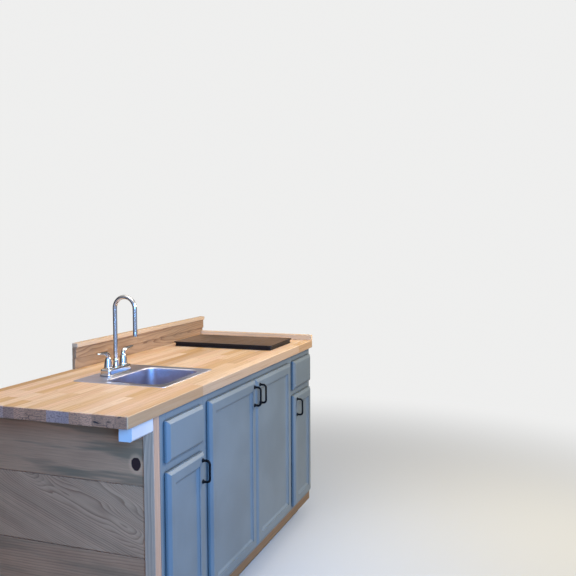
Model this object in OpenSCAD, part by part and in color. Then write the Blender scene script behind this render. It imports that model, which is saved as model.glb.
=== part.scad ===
// Fitted kitchen run of a small house on wheels.
// Three painted face-frame cabinets stand in a row under a butcher-block worktop, with a drop-in sink, a tap
// and a hob. The worktop runs on past the cabinets to the left, over a boarded end panel and its corner post.
// The run is laid out from the worktop's left end (X), its front edge (Y) and the floor (Z).

/* [Worktop] */
// Length of the worktop
top_len = 1736; // [1700:1:2000]
// Depth of the worktop, front edge to wall
top_depth = 645; // [620:1:700]
// Thickness of the worktop
top_t = 38; // [30:1:50]
// Height of the worktop's upper face above the floor
top_h = 914; // [880:1:960]
// Radius of the worktop's eased front corner
top_corner_r = 6; // [2:1:12]

/* [Cabinets] */
// Width of each end cabinet
end_cab_w = 305; // [290:1:340]
// Width of the cabinet under the sink
sink_cab_w = 914; // [880:1:940]
// Face frame's setback behind the worktop's front edge
frame_inset = 19.5; // [15:0.5:40]
// Thickness of the face frames
frame_t = 19; // [16:1:25]
// Width of the face frames' stiles
stile_w = 38; // [32:1:50]
// Height of the face frames' top rails
top_rail_h = 45; // [30:1:50]
// Height of the rail between a drawer and its door
mid_rail_h = 57; // [40:1:60]
// Height of the face frames' bottom rails
bottom_rail_h = 30; // [25:1:50]
// Thickness of the cabinet sides
side_t = 16; // [12:1:19]
// Thickness of the cabinet floors
floor_t = 12; // [9:1:19]
// Thickness of the cabinet backs
back_t = 6; // [4:1:12]
// Height of the toe space, up to the face frames
toe_h = 114; // [100:1:130]
// Depth of the toe space behind the face frames' front
toe_depth = 75; // [50:1:100]
// Thickness of the toe board
toe_board_t = 12; // [9:1:19]
// Height of the bare wood strip below the face frames
base_strip_h = 38; // [25:1:60]
// Gap between a loose part and what carries it
seat_gap = 0.3; // [0.1:0.1:0.5]

/* [Doors and drawers] */
// Thickness of the doors and drawer fronts
door_t = 19; // [16:1:25]
// Gap behind a closed door
door_gap = 0.8; // [0.5:0.1:3]
// Overlap of doors and drawer fronts on the face frame
overlay = 12.7; // [8:0.1:16]
// Gap between the two doors of the sink cabinet
meeting_gap = 5.4; // [5:0.1:10]
// Width of a door's stiles and rails
door_frame_w = 42; // [38:1:70]
// Width of the sloped moulding round a door's panel
moulding_w = 13; // [5:1:15]
// Depth of a door's sunk panel
panel_sink = 9; // [4:1:10]
// Height of the drawer fronts
drawer_front_h = 136; // [120:1:170]
// Width of the bevel round the doors and drawer fronts
front_bevel_w = 12; // [6:1:12]
// Depth of the bevel round the doors and drawer fronts
front_bevel_d = 8; // [3:1:10]
// Depth of the drawer boxes
drawer_len = 460; // [350:1:500]
// Height of the drawer boxes
drawer_h = 90; // [60:1:100]
// Thickness of the drawer boxes' walls
drawer_wall_t = 12; // [9:1:16]
// Thickness of the drawer boxes' bottoms
drawer_floor_t = 6; // [4:1:9]
// Room beside and under a drawer box
drawer_clear = 6; // [5:1:10]
// Thickness of the drawer runners' steel
runner_t = 2; // [1.5:0.5:3]
// Height of the drawer runners
runner_h = 35; // [25:1:45]

/* [Pulls] */
// Distance between a pull's two feet
pull_span = 76; // [64:1:128]
// Diameter of a pull's bar
pull_d = 9; // [7:1:12]
// Diameter of a pull's flared feet
pull_foot_d = 16; // [12:1:20]
// Thickness of a pull's flared feet
pull_foot_t = 4; // [2:1:6]
// Reach of a pull in front of its door
pull_reach = 32; // [25:1:45]
// Radius of the bends in a pull's bar
pull_bend_r = 12; // [8:1:16]
// Distance of the pull from the opening edge of a door hinged at its left
left_pull_edge = 21; // [20:1:40]
// Distance of the pull from the opening edge of a door hinged at its right
right_pull_edge = 33; // [20:1:40]
// Distance of a pull's centre below its door's top edge
pull_drop = 64; // [60:1:100]
// Distance of the last door's pull below its top edge
end_pull_drop = 58; // [58:1:100]

/* [End panel] */
// Side of the square corner post
post_w = 38; // [30:1:60]
// Thickness of the panel's boards
board_t = 19; // [15:1:25]
// Height of one board of the panel
board_h = 234; // [200:1:260]
// Setback of the boards behind the post's left face
board_inset = 10; // [2:1:18]
// Length of the block under the worktop's overhang
block_len = 121; // [80:1:140]
// Depth of the block under the worktop's overhang
block_depth = 46; // [30:1:60]
// Height of the block under the worktop's overhang
block_h = 53; // [30:1:60]
// Bevel along the lower front edge of the block
block_bevel = 6; // [2:1:15]

/* [Splash boards] */
// Distance from the worktop's left end to the splash boards along the wall
splash_x = 612; // [500:1:650]
// Thickness of the lower splash board
splash_low_t = 13; // [10:1:16]
// Height of the lower splash board
splash_low_h = 43; // [30:1:60]
// Thickness of the upper splash board
splash_up_t = 19; // [17:1:25]
// Height of the upper splash board
splash_up_h = 44; // [30:1:60]
// Depth of the cap on the splash boards
splash_cap_w = 26; // [26:1:35]
// Thickness of the cap on the splash boards
splash_cap_t = 18; // [12:1:25]
// Thickness of the strip at the far end
end_strip_t = 19; // [12:1:25]
// Height of the strip at the far end
end_strip_h = 28; // [20:1:60]

/* [Sink] */
// Side of the square sink's rim
sink_w = 381; // [370:1:400]
// Distance from the cabinet run's left end to the sink's rim
sink_x = 187; // [180:1:400]
// Distance from the worktop's front edge to the sink's rim
sink_y = 107; // [100:1:140]
// Thickness of the sink's rim above the worktop
rim_t = 2; // [1:0.5:4]
// Width of the rim left, right and in front of the bowl
rim_w = 36; // [28:1:45]
// Depth of the ledge behind the bowl
ledge_w = 110; // [100:1:130]
// Depth of the bowl below the worktop's upper face
bowl_depth = 150; // [100:1:200]
// Radius of the bowl's upright corners
bowl_corner_r = 45; // [20:1:60]
// Radius of the rim's corners
rim_corner_r = 12; // [4:1:20]
// Thickness of the bowl's sheet
bowl_t = 2; // [1:0.5:4]
// Gap between the bowl and the worktop's cut-out
cutout_gap = 8; // [4:1:15]
// Diameter of the sink's drain
drain_d = 85; // [60:1:90]
// Width of the lip round the drain
drain_lip = 6; // [3:1:10]
// Length of the drain's tail below the bowl
drain_tail = 40; // [20:1:60]

/* [Tap] */
// Distance from the back edge of the sink's rim to the middle of the tap
tap_back = 61; // [50:1:66]
// Length of the tap's base plate
tap_base_len = 156; // [150:1:210]
// Depth of the tap's base plate
tap_base_w = 48; // [45:1:60]
// Height of the tap's base plate
tap_base_h = 26; // [15:1:40]
// Radius of the base plate's corners
tap_base_r = 12; // [4:1:20]
// Distance between the tap's two lever columns
tap_span = 102; // [95:1:110]
// Diameter of the spout's tube
spout_d = 16; // [12:1:20]
// Diameter of the spout's collar
spout_collar_d = 24; // [20:1:30]
// Height of the spout's collar
collar_h = 30; // [15:1:50]
// Height of the spout's top above the worktop
spout_h = 304; // [220:1:350]
// Radius of the spout's arch
spout_r = 44; // [35:1:80]
// Length of the spout's straight leg down from its arch
spout_drop = 106; // [40:1:120]
// Diameter of a lever column at its foot
lever_foot_d = 34; // [30:1:45]
// Height of the round foot below a lever column
lever_foot_h = 4; // [3:1:10]
// Diameter of a lever column at its shoulder
lever_shoulder_d = 28; // [24:1:30]
// Height of a lever column's shoulder
lever_shoulder_h = 20; // [11:1:24]
// Diameter of a lever column at its neck
lever_neck_d = 18; // [14:1:20]
// Height of a lever column, up to the bend of its lever
lever_h = 41; // [30:1:50]
// Radius of the bend from a column into its lever
lever_bend_r = 17; // [12:1:25]
// Length of a lever, from its column's axis
lever_len = 68; // [55:1:80]
// Width of a lever's tip
lever_tip_w = 12; // [8:1:16]
// Thickness of a lever's tip
lever_tip_t = 8; // [5:1:10]
// Rise of a lever from its bend to its tip
lever_rise = 5; // [0:1:20]

/* [Hob] */
// Width of the hob along the run
hob_w = 288; // [270:1:310]
// Depth of the hob, front to back
hob_len = 510; // [400:1:530]
// Height of the hob's body
hob_h = 17; // [10:1:40]
// Thickness of the hob's top plate
hob_plate_t = 7; // [4:1:12]
// Distance from the worktop's far end to the hob
hob_end = 133; // [60:1:160]
// Gap between the hob and the lower splash board
hob_wall_gap = 55; // [20:1:80]
// Recess of the hob's body under its top plate
hob_lip = 4; // [2:1:10]
// Radius of the hob's corners
hob_corner_r = 6; // [2:1:15]

/* [Hidden] */
$fn = 64;
// Overlap that makes a cut run clean through a face
eps = 1;

// Colours of the real finishes
paint = "#76839a";
birch = "#e2bd92";
pine = "#8b8a94";
post_wood = "#9a93a0";
steel = "#9aa0a8";
chrome = "#c8ccd2";
black = "#1b1a1c";

// Places along the run
cab_widths = [end_cab_w, sink_cab_w, end_cab_w];
cabs_len = 2 * end_cab_w + sink_cab_w;
cab_x0 = top_len - cabs_len;
cab_x = [cab_x0, cab_x0 + end_cab_w, cab_x0 + end_cab_w + sink_cab_w];
post_x = cab_x0 - post_w;
post_y = frame_inset;

// Places front to back
frame_back = frame_inset + frame_t;
leaf_back = frame_inset - door_gap;
leaf_front = leaf_back - door_t;
pull_front = leaf_front - pull_reach;
cab_back = top_depth;
inner_back = cab_back - back_t;

// Boards in the end panel, one above another
board_count = 4;

// Heights
cab_h = top_h - top_t;
bottom_open_z = toe_h + bottom_rail_h;
top_open_z = cab_h - top_rail_h;
door_z = bottom_open_z - overlay;
tall_door_top = top_open_z + overlay;
drawer_z = tall_door_top - drawer_front_h;
drawer_open_z = drawer_z + overlay;
mid_rail_z = drawer_open_z - mid_rail_h;
short_door_top = mid_rail_z + overlay;
floor_z = bottom_open_z - floor_t;

// The finished part stands on its origin, at the middle of its box
centre_x = top_len / 2;
centre_y = (pull_front + top_depth) / 2;

// Doors
end_door_w = end_cab_w - 2 * stile_w + 2 * overlay;
sink_door_w = (sink_cab_w - 2 * stile_w + 2 * overlay - meeting_gap) / 2;
short_door_h = short_door_top - door_z;
tall_door_h = tall_door_top - door_z;
sink_door_x = cab_x[1] + stile_w - overlay;
left_door_x = cab_x[0] + stile_w - overlay;
right_door_x = cab_x[2] + stile_w - overlay;
meeting_x = cab_x[1] + sink_cab_w / 2;
short_pull_z = short_door_top - pull_drop;
tall_pull_z = tall_door_top - pull_drop;
end_pull_z = short_door_top - end_pull_drop;

// Drawers
drawer_w = end_cab_w - 2 * stile_w - 2 * drawer_clear;
drawer_box_z = drawer_open_z + drawer_clear;

// Sink and tap
rim_x = cab_x0 + sink_x;
rim_y = sink_y;
bowl_x = rim_x + rim_w;
bowl_y = rim_y + rim_w;
bowl_w = sink_w - 2 * rim_w;
bowl_len = sink_w - rim_w - ledge_w;
bowl_floor_z = top_h - bowl_depth;
drain_x = bowl_x + bowl_w / 2;
drain_y = bowl_y + bowl_len / 2;
tap_x = rim_x + sink_w / 2;
tap_y = rim_y + sink_w - tap_back;
tap_z = top_h + rim_t;
tap_top_z = tap_z + tap_base_h;
// Facets round a lever's blade
lever_fn = 24;
// Step down from a lever's bend to its blade
lever_step = 1;

// Hob
hob_x = top_len - hob_end - hob_w;
hob_y = top_depth - splash_low_t - hob_wall_gap - hob_len;

module placed() {
    translate([-centre_x, -centre_y, 0]) children();
}

// A box with its low corner at p and its sizes in s
module box(p, s) {
    translate(p) cube(s);
}

// A flat shape with round upright corners, standing on z
module rounded_slab(p, s, r) {
    translate([p[0] + r, p[1] + r, p[2]]) linear_extrude(s[2]) rounded_outline(s[0] - 2 * r, s[1] - 2 * r, r);
}

// Outline of a rectangle w by l, grown by r with round corners
module rounded_outline(w, l, r) {
    union() {
        translate([-r, 0]) square([w + 2 * r, l]);
        translate([0, -r]) square([w, l + 2 * r]);
        for (x = [0, w], y = [0, l]) translate([x, y]) circle(r);
    }
}

// A slab whose front face, towards -Y, is smaller than its back by a bevel all round
module bevelled_slab(w, t, h, bevel_w, bevel_d) {
    intersection() {
        linear_extrude(h) bevelled_section(w, t, bevel_w, bevel_d);
        rotate([90, 0, 90]) linear_extrude(w) upright_section(t, h, bevel_w, bevel_d);
    }
}

// Section of the bevelled slab seen from above
module bevelled_section(w, t, bevel_w, bevel_d) {
    polygon([[0, t], [0, bevel_d], [bevel_w, 0], [w - bevel_w, 0], [w, bevel_d], [w, t]]);
}

// Section of the bevelled slab seen from its side
module upright_section(t, h, bevel_w, bevel_d) {
    polygon([[t, 0], [bevel_d, 0], [0, bevel_w], [0, h - bevel_w], [bevel_d, h], [t, h]]);
}

// A door leaf with a bevelled edge, and a sunk flat panel with a sloped moulding round it
module door_leaf(x, z, w, h) {
    in_w = w - 2 * door_frame_w;
    in_h = h - 2 * door_frame_w;
    color(paint) translate([x, leaf_front, z]) difference() {
        bevelled_slab(w, door_t, h, front_bevel_w, front_bevel_d);
        translate([door_frame_w + in_w, panel_sink, door_frame_w]) rotate([0, 0, 180])
            bevelled_slab(in_w, panel_sink + eps, in_h, moulding_w, panel_sink);
    }
}

// A bow pull: two flared feet, and a bar that bends back to them, centred on x and z
module pull(x, z) {
    bar_reach = pull_reach - pull_d / 2;
    half = pull_span / 2;
    color(black) translate([x, leaf_front, z]) union() {
        for (s = [0, 1]) mirror([0, 0, s]) {
            translate([0, 0, half]) rotate([90, 0, 0]) {
                cylinder(d1 = pull_foot_d, d2 = pull_d, h = pull_foot_t);
                cylinder(d = pull_d, h = bar_reach - pull_bend_r);
            }
            translate([0, pull_bend_r - bar_reach, half - pull_bend_r]) rotate([90, 0, -90])
                rotate_extrude(angle = 90) translate([pull_bend_r, 0]) circle(d = pull_d);
        }
        translate([0, -bar_reach, pull_bend_r - half]) cylinder(d = pull_d, h = pull_span - 2 * pull_bend_r);
    }
}

// The two sides of one cabinet, notched at the foot for the toe space and at the top where the bowl hangs
module cabinet_sides(i) {
    for (x = [cab_x[i], cab_x[i] + cab_widths[i] - side_t])
        color(paint) difference() {
            translate([x, 0, 0]) rotate([90, 0, 90]) linear_extrude(side_t) side_outline();
            bowl_room();
        }
}

// The room that the sink's bowl takes up under the worktop
module bowl_room() {
    box([bowl_x - cutout_gap, bowl_y - cutout_gap, bowl_floor_z - bowl_t - cutout_gap],
        [bowl_w + 2 * cutout_gap, bowl_len + 2 * cutout_gap, top_h]);
}

// Outline of a cabinet side, seen from its end
module side_outline() {
    toe_back = frame_inset + toe_depth;
    polygon([
        [frame_back, toe_h], [toe_back, toe_h], [toe_back, 0], [cab_back, 0], [cab_back, cab_h],
        [frame_back, cab_h]
    ]);
}

// A face frame with one tall opening, or with a drawer opening over a door opening
module face_frame(i, has_drawer) {
    w = cab_widths[i];
    open_w = w - 2 * stile_w;
    door_open_top = has_drawer ? mid_rail_z : top_open_z;
    color(paint) difference() {
        box([cab_x[i], frame_inset, toe_h], [w, frame_t, cab_h - toe_h]);
        box([cab_x[i] + stile_w, frame_inset - eps, bottom_open_z],
            [open_w, frame_t + 2 * eps, door_open_top - bottom_open_z]);
        if (has_drawer) box([cab_x[i] + stile_w, frame_inset - eps, drawer_open_z],
                            [open_w, frame_t + 2 * eps, top_open_z - drawer_open_z]);
    }
}

// A drawer front with its face at y, over the drawer opening of the cabinet at cab_x[i]
module drawer_front(i, y) {
    color(paint) translate([cab_x[i] + stile_w - overlay, y, drawer_z])
        bevelled_slab(end_door_w, door_t, drawer_front_h, front_bevel_w, front_bevel_d);
}

// The left front is fixed flat to its face frame, because the bowl hangs behind it
module left_fixed_front() {
    drawer_front(0, frame_inset - door_t);
}

module right_drawer_front() {
    drawer_front(2, leaf_front);
}

// The open-topped box behind the right drawer front
module right_drawer_box() {
    x = cab_x[2] + stile_w + drawer_clear;
    color(birch) difference() {
        box([x, leaf_back, drawer_box_z], [drawer_w, drawer_len, drawer_h]);
        box([x + drawer_wall_t, leaf_back + drawer_wall_t, drawer_box_z + drawer_floor_t],
            [drawer_w - 2 * drawer_wall_t, drawer_len - 2 * drawer_wall_t, drawer_h]);
    }
}

// The two steel angles that the drawer box slides on, from the face frame to the cabinet's back
module right_drawer_runners() {
    low_z = drawer_box_z - seat_gap - runner_t;
    run = inner_back - frame_back;
    flange = drawer_clear + drawer_wall_t - runner_t;
    left_x = cab_x[2] + stile_w - runner_t;
    right_x = cab_x[2] + end_cab_w - stile_w;
    color(steel) union() {
        box([left_x, frame_back, low_z], [runner_t, run, runner_h]);
        box([left_x, frame_back, low_z], [runner_t + flange, run, runner_t]);
    }
    color(steel) union() {
        box([right_x, frame_back, low_z], [runner_t, run, runner_h]);
        box([right_x - flange, frame_back, low_z], [runner_t + flange, run, runner_t]);
    }
}

module worktop() {
    color(birch) difference() {
        rounded_top();
        box([bowl_x - cutout_gap, bowl_y - cutout_gap, cab_h - eps],
            [bowl_w + 2 * cutout_gap, bowl_len + 2 * cutout_gap, top_t + 2 * eps]);
    }
}

// The worktop's slab, with its front left corner eased
module rounded_top() {
    translate([0, 0, cab_h]) linear_extrude(top_t) union() {
        translate([top_corner_r, 0]) square([top_len - top_corner_r, top_depth]);
        translate([0, top_corner_r]) square([top_len, top_depth - top_corner_r]);
        translate([top_corner_r, top_corner_r]) circle(top_corner_r);
    }
}

module sink_bowl() {
    color(steel) difference() {
        union() {
            rounded_slab([rim_x, rim_y, top_h], [sink_w, sink_w, rim_t], rim_corner_r);
            rounded_slab([bowl_x - bowl_t, bowl_y - bowl_t, bowl_floor_z - bowl_t],
                         [bowl_w + 2 * bowl_t, bowl_len + 2 * bowl_t, bowl_depth + bowl_t],
                         bowl_corner_r + bowl_t);
        }
        rounded_slab([bowl_x, bowl_y, bowl_floor_z],
                     [bowl_w, bowl_len, bowl_depth + rim_t + eps], bowl_corner_r);
        translate([drain_x, drain_y, bowl_floor_z - bowl_t - eps])
            cylinder(d = drain_d, h = bowl_t + 2 * eps);
    }
}

module sink_drain() {
    color(chrome) translate([drain_x, drain_y, bowl_floor_z - bowl_t - drain_tail]) difference() {
        union() {
            cylinder(d = drain_d, h = drain_tail + bowl_t);
            translate([0, 0, drain_tail - drain_lip]) cylinder(d = drain_d + 2 * drain_lip, h = drain_lip);
        }
        translate([0, 0, drain_lip]) cylinder(d = drain_d - 2 * drain_lip, h = drain_tail + bowl_t);
    }
}

module tap_base() {
    color(chrome) rounded_slab([tap_x - tap_base_len / 2, tap_y - tap_base_w / 2, tap_z],
                               [tap_base_len, tap_base_w, tap_base_h], tap_base_r);
}

// The gooseneck: collar, riser, half-round arch towards the bowl and a straight leg down
module tap_spout() {
    arch_z = top_h + spout_h - spout_r - spout_d / 2;
    color(chrome) translate([tap_x, tap_y, 0]) union() {
        translate([0, 0, tap_top_z]) cylinder(d = spout_collar_d, h = collar_h);
        translate([0, 0, tap_top_z]) cylinder(d = spout_d, h = arch_z - tap_top_z);
        translate([0, -spout_r, arch_z]) rotate([90, 0, 90]) rotate_extrude(angle = 180)
            translate([spout_r, 0]) circle(d = spout_d);
        translate([0, -2 * spout_r, arch_z - spout_drop]) cylinder(d = spout_d, h = spout_drop);
    }
}

// A lever on its column, bent outwards; side is -1 on the left and 1 on the right
module tap_lever(side) {
    color(chrome) translate([tap_x + side * tap_span / 2, tap_y, tap_top_z])
        rotate([0, 0, side < 0 ? 180 : 0]) union() {
            rotate_extrude() lever_column_outline();
            translate([lever_bend_r, 0, lever_h]) rotate([90, 0, 0]) rotate([0, 0, 90])
                rotate_extrude(angle = 90) translate([lever_bend_r, 0]) circle(d = lever_neck_d);
            lever_blade();
        }
}

// Half the outline of a lever column: round foot, shoulder and neck
module lever_column_outline() {
    polygon([
        [0, 0], [lever_foot_d / 2, 0], [lever_foot_d / 2, lever_foot_h],
        [lever_shoulder_d / 2, lever_shoulder_h], [lever_neck_d / 2, lever_h], [0, lever_h]
    ]);
}

// The flat blade of a lever, from the end of its bend to its round tip
module lever_blade() {
    bend_z = lever_h + lever_bend_r;
    hull() {
        translate([lever_bend_r - lever_step, 0, bend_z]) rotate([0, 90, 0])
            cylinder(d = lever_neck_d - lever_step, h = lever_step, $fn = lever_fn);
        translate([lever_len - lever_tip_w / 2, 0, bend_z + lever_rise])
            scale([1, 1, lever_tip_t / lever_tip_w]) sphere(d = lever_tip_w, $fn = lever_fn);
    }
}

module hob_body() {
    color(black) rounded_slab([hob_x + hob_lip, hob_y + hob_lip, top_h],
                              [hob_w - 2 * hob_lip, hob_len - 2 * hob_lip, hob_h], hob_corner_r);
}

module hob_plate() {
    color(black) rounded_slab([hob_x, hob_y, top_h + hob_h], [hob_w, hob_len, hob_plate_t], hob_corner_r);
}

// The block's outline, seen from its end, has its lower front edge bevelled
module overhang_block() {
    color("white") translate([post_x - block_len, frame_inset, cab_h - block_h]) rotate([90, 0, 90])
        linear_extrude(block_len) block_outline();
}

module block_outline() {
    polygon([[block_bevel, 0], [block_depth, 0], [block_depth, block_h], [0, block_h], [0, block_bevel]]);
}

module corner_post() {
    color(post_wood) box([post_x, post_y, 0], [post_w, post_w, cab_h]);
}

// Board n of the end panel, counted from the top, which ends at the floor
module end_board(n) {
    top_z = cab_h - (n - 1) * board_h;
    low_z = n == board_count ? 0 : top_z - board_h;
    color(pine) box([post_x + board_inset, post_y + post_w, low_z],
                    [board_t, top_depth - post_y - post_w, top_z - low_z]);
}

// One board of the splash along the wall, w deep and h high, with its foot at z
module splash_board(w, z, h) {
    color(pine) box([splash_x, top_depth - w, z], [top_len - splash_x, w, h]);
}

module splash_lower() {
    splash_board(splash_low_t, top_h, splash_low_h);
}

module splash_upper() {
    splash_board(splash_up_t, top_h + splash_low_h, splash_up_h);
}

module splash_cap() {
    splash_board(splash_cap_w, top_h + splash_low_h + splash_up_h, splash_cap_t);
}

module end_strip() {
    color(birch) box([top_len - end_strip_t, 0, top_h],
                     [end_strip_t, top_depth - splash_low_t, end_strip_h]);
}

module base_strip() {
    color(post_wood) box([cab_x0, frame_inset, toe_h - base_strip_h], [cabs_len, frame_t, base_strip_h]);
}

module toe_board() {
    color(black) box([cab_x0, frame_inset + toe_depth - toe_board_t, 0], [cabs_len, toe_board_t, toe_h]);
}

module cabinet_floors() {
    for (i = [0:2]) color(birch) box([cab_x[i] + side_t, frame_back, floor_z],
                                     [cab_widths[i] - 2 * side_t, inner_back - frame_back, floor_t]);
}

module cabinet_backs() {
    for (i = [0:2]) color(birch) box([cab_x[i] + side_t, inner_back, floor_z],
                                     [cab_widths[i] - 2 * side_t, back_t, cab_h - floor_z]);
}

module left_door() {
    door_leaf(left_door_x, door_z, end_door_w, short_door_h);
}

module sink_door_left() {
    door_leaf(sink_door_x, door_z, sink_door_w, tall_door_h);
}

module sink_door_right() {
    door_leaf(meeting_x + meeting_gap / 2, door_z, sink_door_w, tall_door_h);
}

module right_door() {
    door_leaf(right_door_x, door_z, end_door_w, short_door_h);
}

module left_door_pull() {
    pull(left_door_x + end_door_w - left_pull_edge, short_pull_z);
}

module sink_pull_left() {
    pull(meeting_x - meeting_gap / 2 - left_pull_edge, tall_pull_z);
}

module sink_pull_right() {
    pull(meeting_x + meeting_gap / 2 + right_pull_edge, tall_pull_z);
}

module right_door_pull() {
    pull(right_door_x + right_pull_edge, end_pull_z);
}

placed() worktop();
placed() sink_bowl();
placed() sink_drain();
placed() tap_base();
placed() tap_spout();
placed() tap_lever(-1);  // tap_lever_left
placed() tap_lever(1);  // tap_lever_right
placed() hob_body();
placed() hob_plate();
placed() overhang_block();
placed() corner_post();
placed() end_board(1);  // end_board_1
placed() end_board(2);  // end_board_2
placed() end_board(3);  // end_board_3
placed() end_board(4);  // end_board_4
placed() splash_lower();
placed() splash_upper();
placed() splash_cap();
placed() end_strip();
placed() base_strip();
placed() toe_board();
placed() cabinet_sides(0);  // left_cabinet_sides
placed() cabinet_sides(1);  // sink_cabinet_sides
placed() cabinet_sides(2);  // right_cabinet_sides
placed() cabinet_floors();
placed() cabinet_backs();
placed() face_frame(0, true);  // left_face_frame
placed() face_frame(1, false);  // sink_face_frame
placed() face_frame(2, true);  // right_face_frame
placed() left_fixed_front();
placed() right_drawer_front();
placed() right_drawer_box();
placed() right_drawer_runners();
placed() left_door();
placed() sink_door_left();
placed() sink_door_right();
placed() right_door();
placed() left_door_pull();
placed() sink_pull_left();
placed() sink_pull_right();
placed() right_door_pull();
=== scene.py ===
import math

import bmesh
import bpy
from bpy.props import FloatProperty, FloatVectorProperty, IntProperty, PointerProperty
from mathutils import Matrix, Quaternion, Vector


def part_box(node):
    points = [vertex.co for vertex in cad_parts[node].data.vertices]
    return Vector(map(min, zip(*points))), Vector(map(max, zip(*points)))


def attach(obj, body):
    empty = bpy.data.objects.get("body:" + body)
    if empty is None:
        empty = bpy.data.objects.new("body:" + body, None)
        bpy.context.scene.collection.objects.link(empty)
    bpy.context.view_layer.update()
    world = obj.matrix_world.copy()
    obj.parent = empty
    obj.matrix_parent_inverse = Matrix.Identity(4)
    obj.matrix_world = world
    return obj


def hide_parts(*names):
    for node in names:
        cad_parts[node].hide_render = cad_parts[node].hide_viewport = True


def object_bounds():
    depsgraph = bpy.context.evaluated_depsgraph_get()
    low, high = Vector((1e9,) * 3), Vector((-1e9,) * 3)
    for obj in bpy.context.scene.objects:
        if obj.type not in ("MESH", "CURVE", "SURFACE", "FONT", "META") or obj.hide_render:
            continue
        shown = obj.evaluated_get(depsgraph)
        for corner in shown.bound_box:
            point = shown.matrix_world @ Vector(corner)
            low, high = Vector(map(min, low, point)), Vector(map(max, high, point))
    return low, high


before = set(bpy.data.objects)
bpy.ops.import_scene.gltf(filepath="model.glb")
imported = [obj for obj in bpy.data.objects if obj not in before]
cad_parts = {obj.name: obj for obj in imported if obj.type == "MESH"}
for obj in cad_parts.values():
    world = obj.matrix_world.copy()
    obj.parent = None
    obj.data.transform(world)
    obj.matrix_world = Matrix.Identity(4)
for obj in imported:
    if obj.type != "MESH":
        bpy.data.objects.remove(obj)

bl_info = {
    "name": "Fitted Kitchen Run",
    "version": (1, 0, 0),
    "blender": (4, 5, 0),
    "location": "View3D > Sidebar > Kitchen Run",
    "description": "Builds the finished pieces of a fitted kitchen run around its packed frame",
    "category": "Object",
}

CAD_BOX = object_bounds()
DOORS = {
    "left_door": ("left_door_pull", -1),
    "sink_door_left": ("sink_pull_left", -1),
    "sink_door_right": ("sink_pull_right", 1),
    "right_door": ("right_door_pull", 1),
}
END_BOARDS = 4
# Place of the dark knot in the top board
KNOT_FROM_POST = 0.0325
KNOT_BELOW_TOP = 0.163
STRAINER_RIBS = 8
# The studio floor's distance below the run, so that no faces share a plane
FLOOR_DROP = 0.0005
# Tells a rectangle's low side from its high side
TINY = 1e-9
# Keeps two points of a ring apart where they would meet
HAIR = 1e-5
# The way to the pale side of the room, along X and along Y
PALE_WAY = (-0.62, -0.78)
# The point that the lamps face, and each lamp's power, tint, width, place and spread in degrees
LAMP_AIM = (-0.1, 0.0, 0.6)
LAMPS = {
    "top_lamp": ("top_power", (1.0, 0.93, 0.83), 2.0, (-0.40, -0.25, 3.0), 180.0),
    "left_lamp": ("left_power", (0.135, 0.415, 1.0), 1.2, (-2.70, -2.05, 1.60), 64.0),
    "front_lamp": ("front_power", (1.0, 0.92, 0.74), 1.1, (1.3, -2.1, 2.15), 180.0),
}


def length(name, default, about):
    """A size in metres that a user can change."""
    return FloatProperty(name=name, description=about, default=default, min=0.0, unit="LENGTH", precision=4)


def colour(name, default, about):
    """A colour, in linear values, that a user can change."""
    return FloatVectorProperty(
        name=name, description=about, default=default, min=0.0, max=1.0, size=3, subtype="COLOR"
    )


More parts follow.
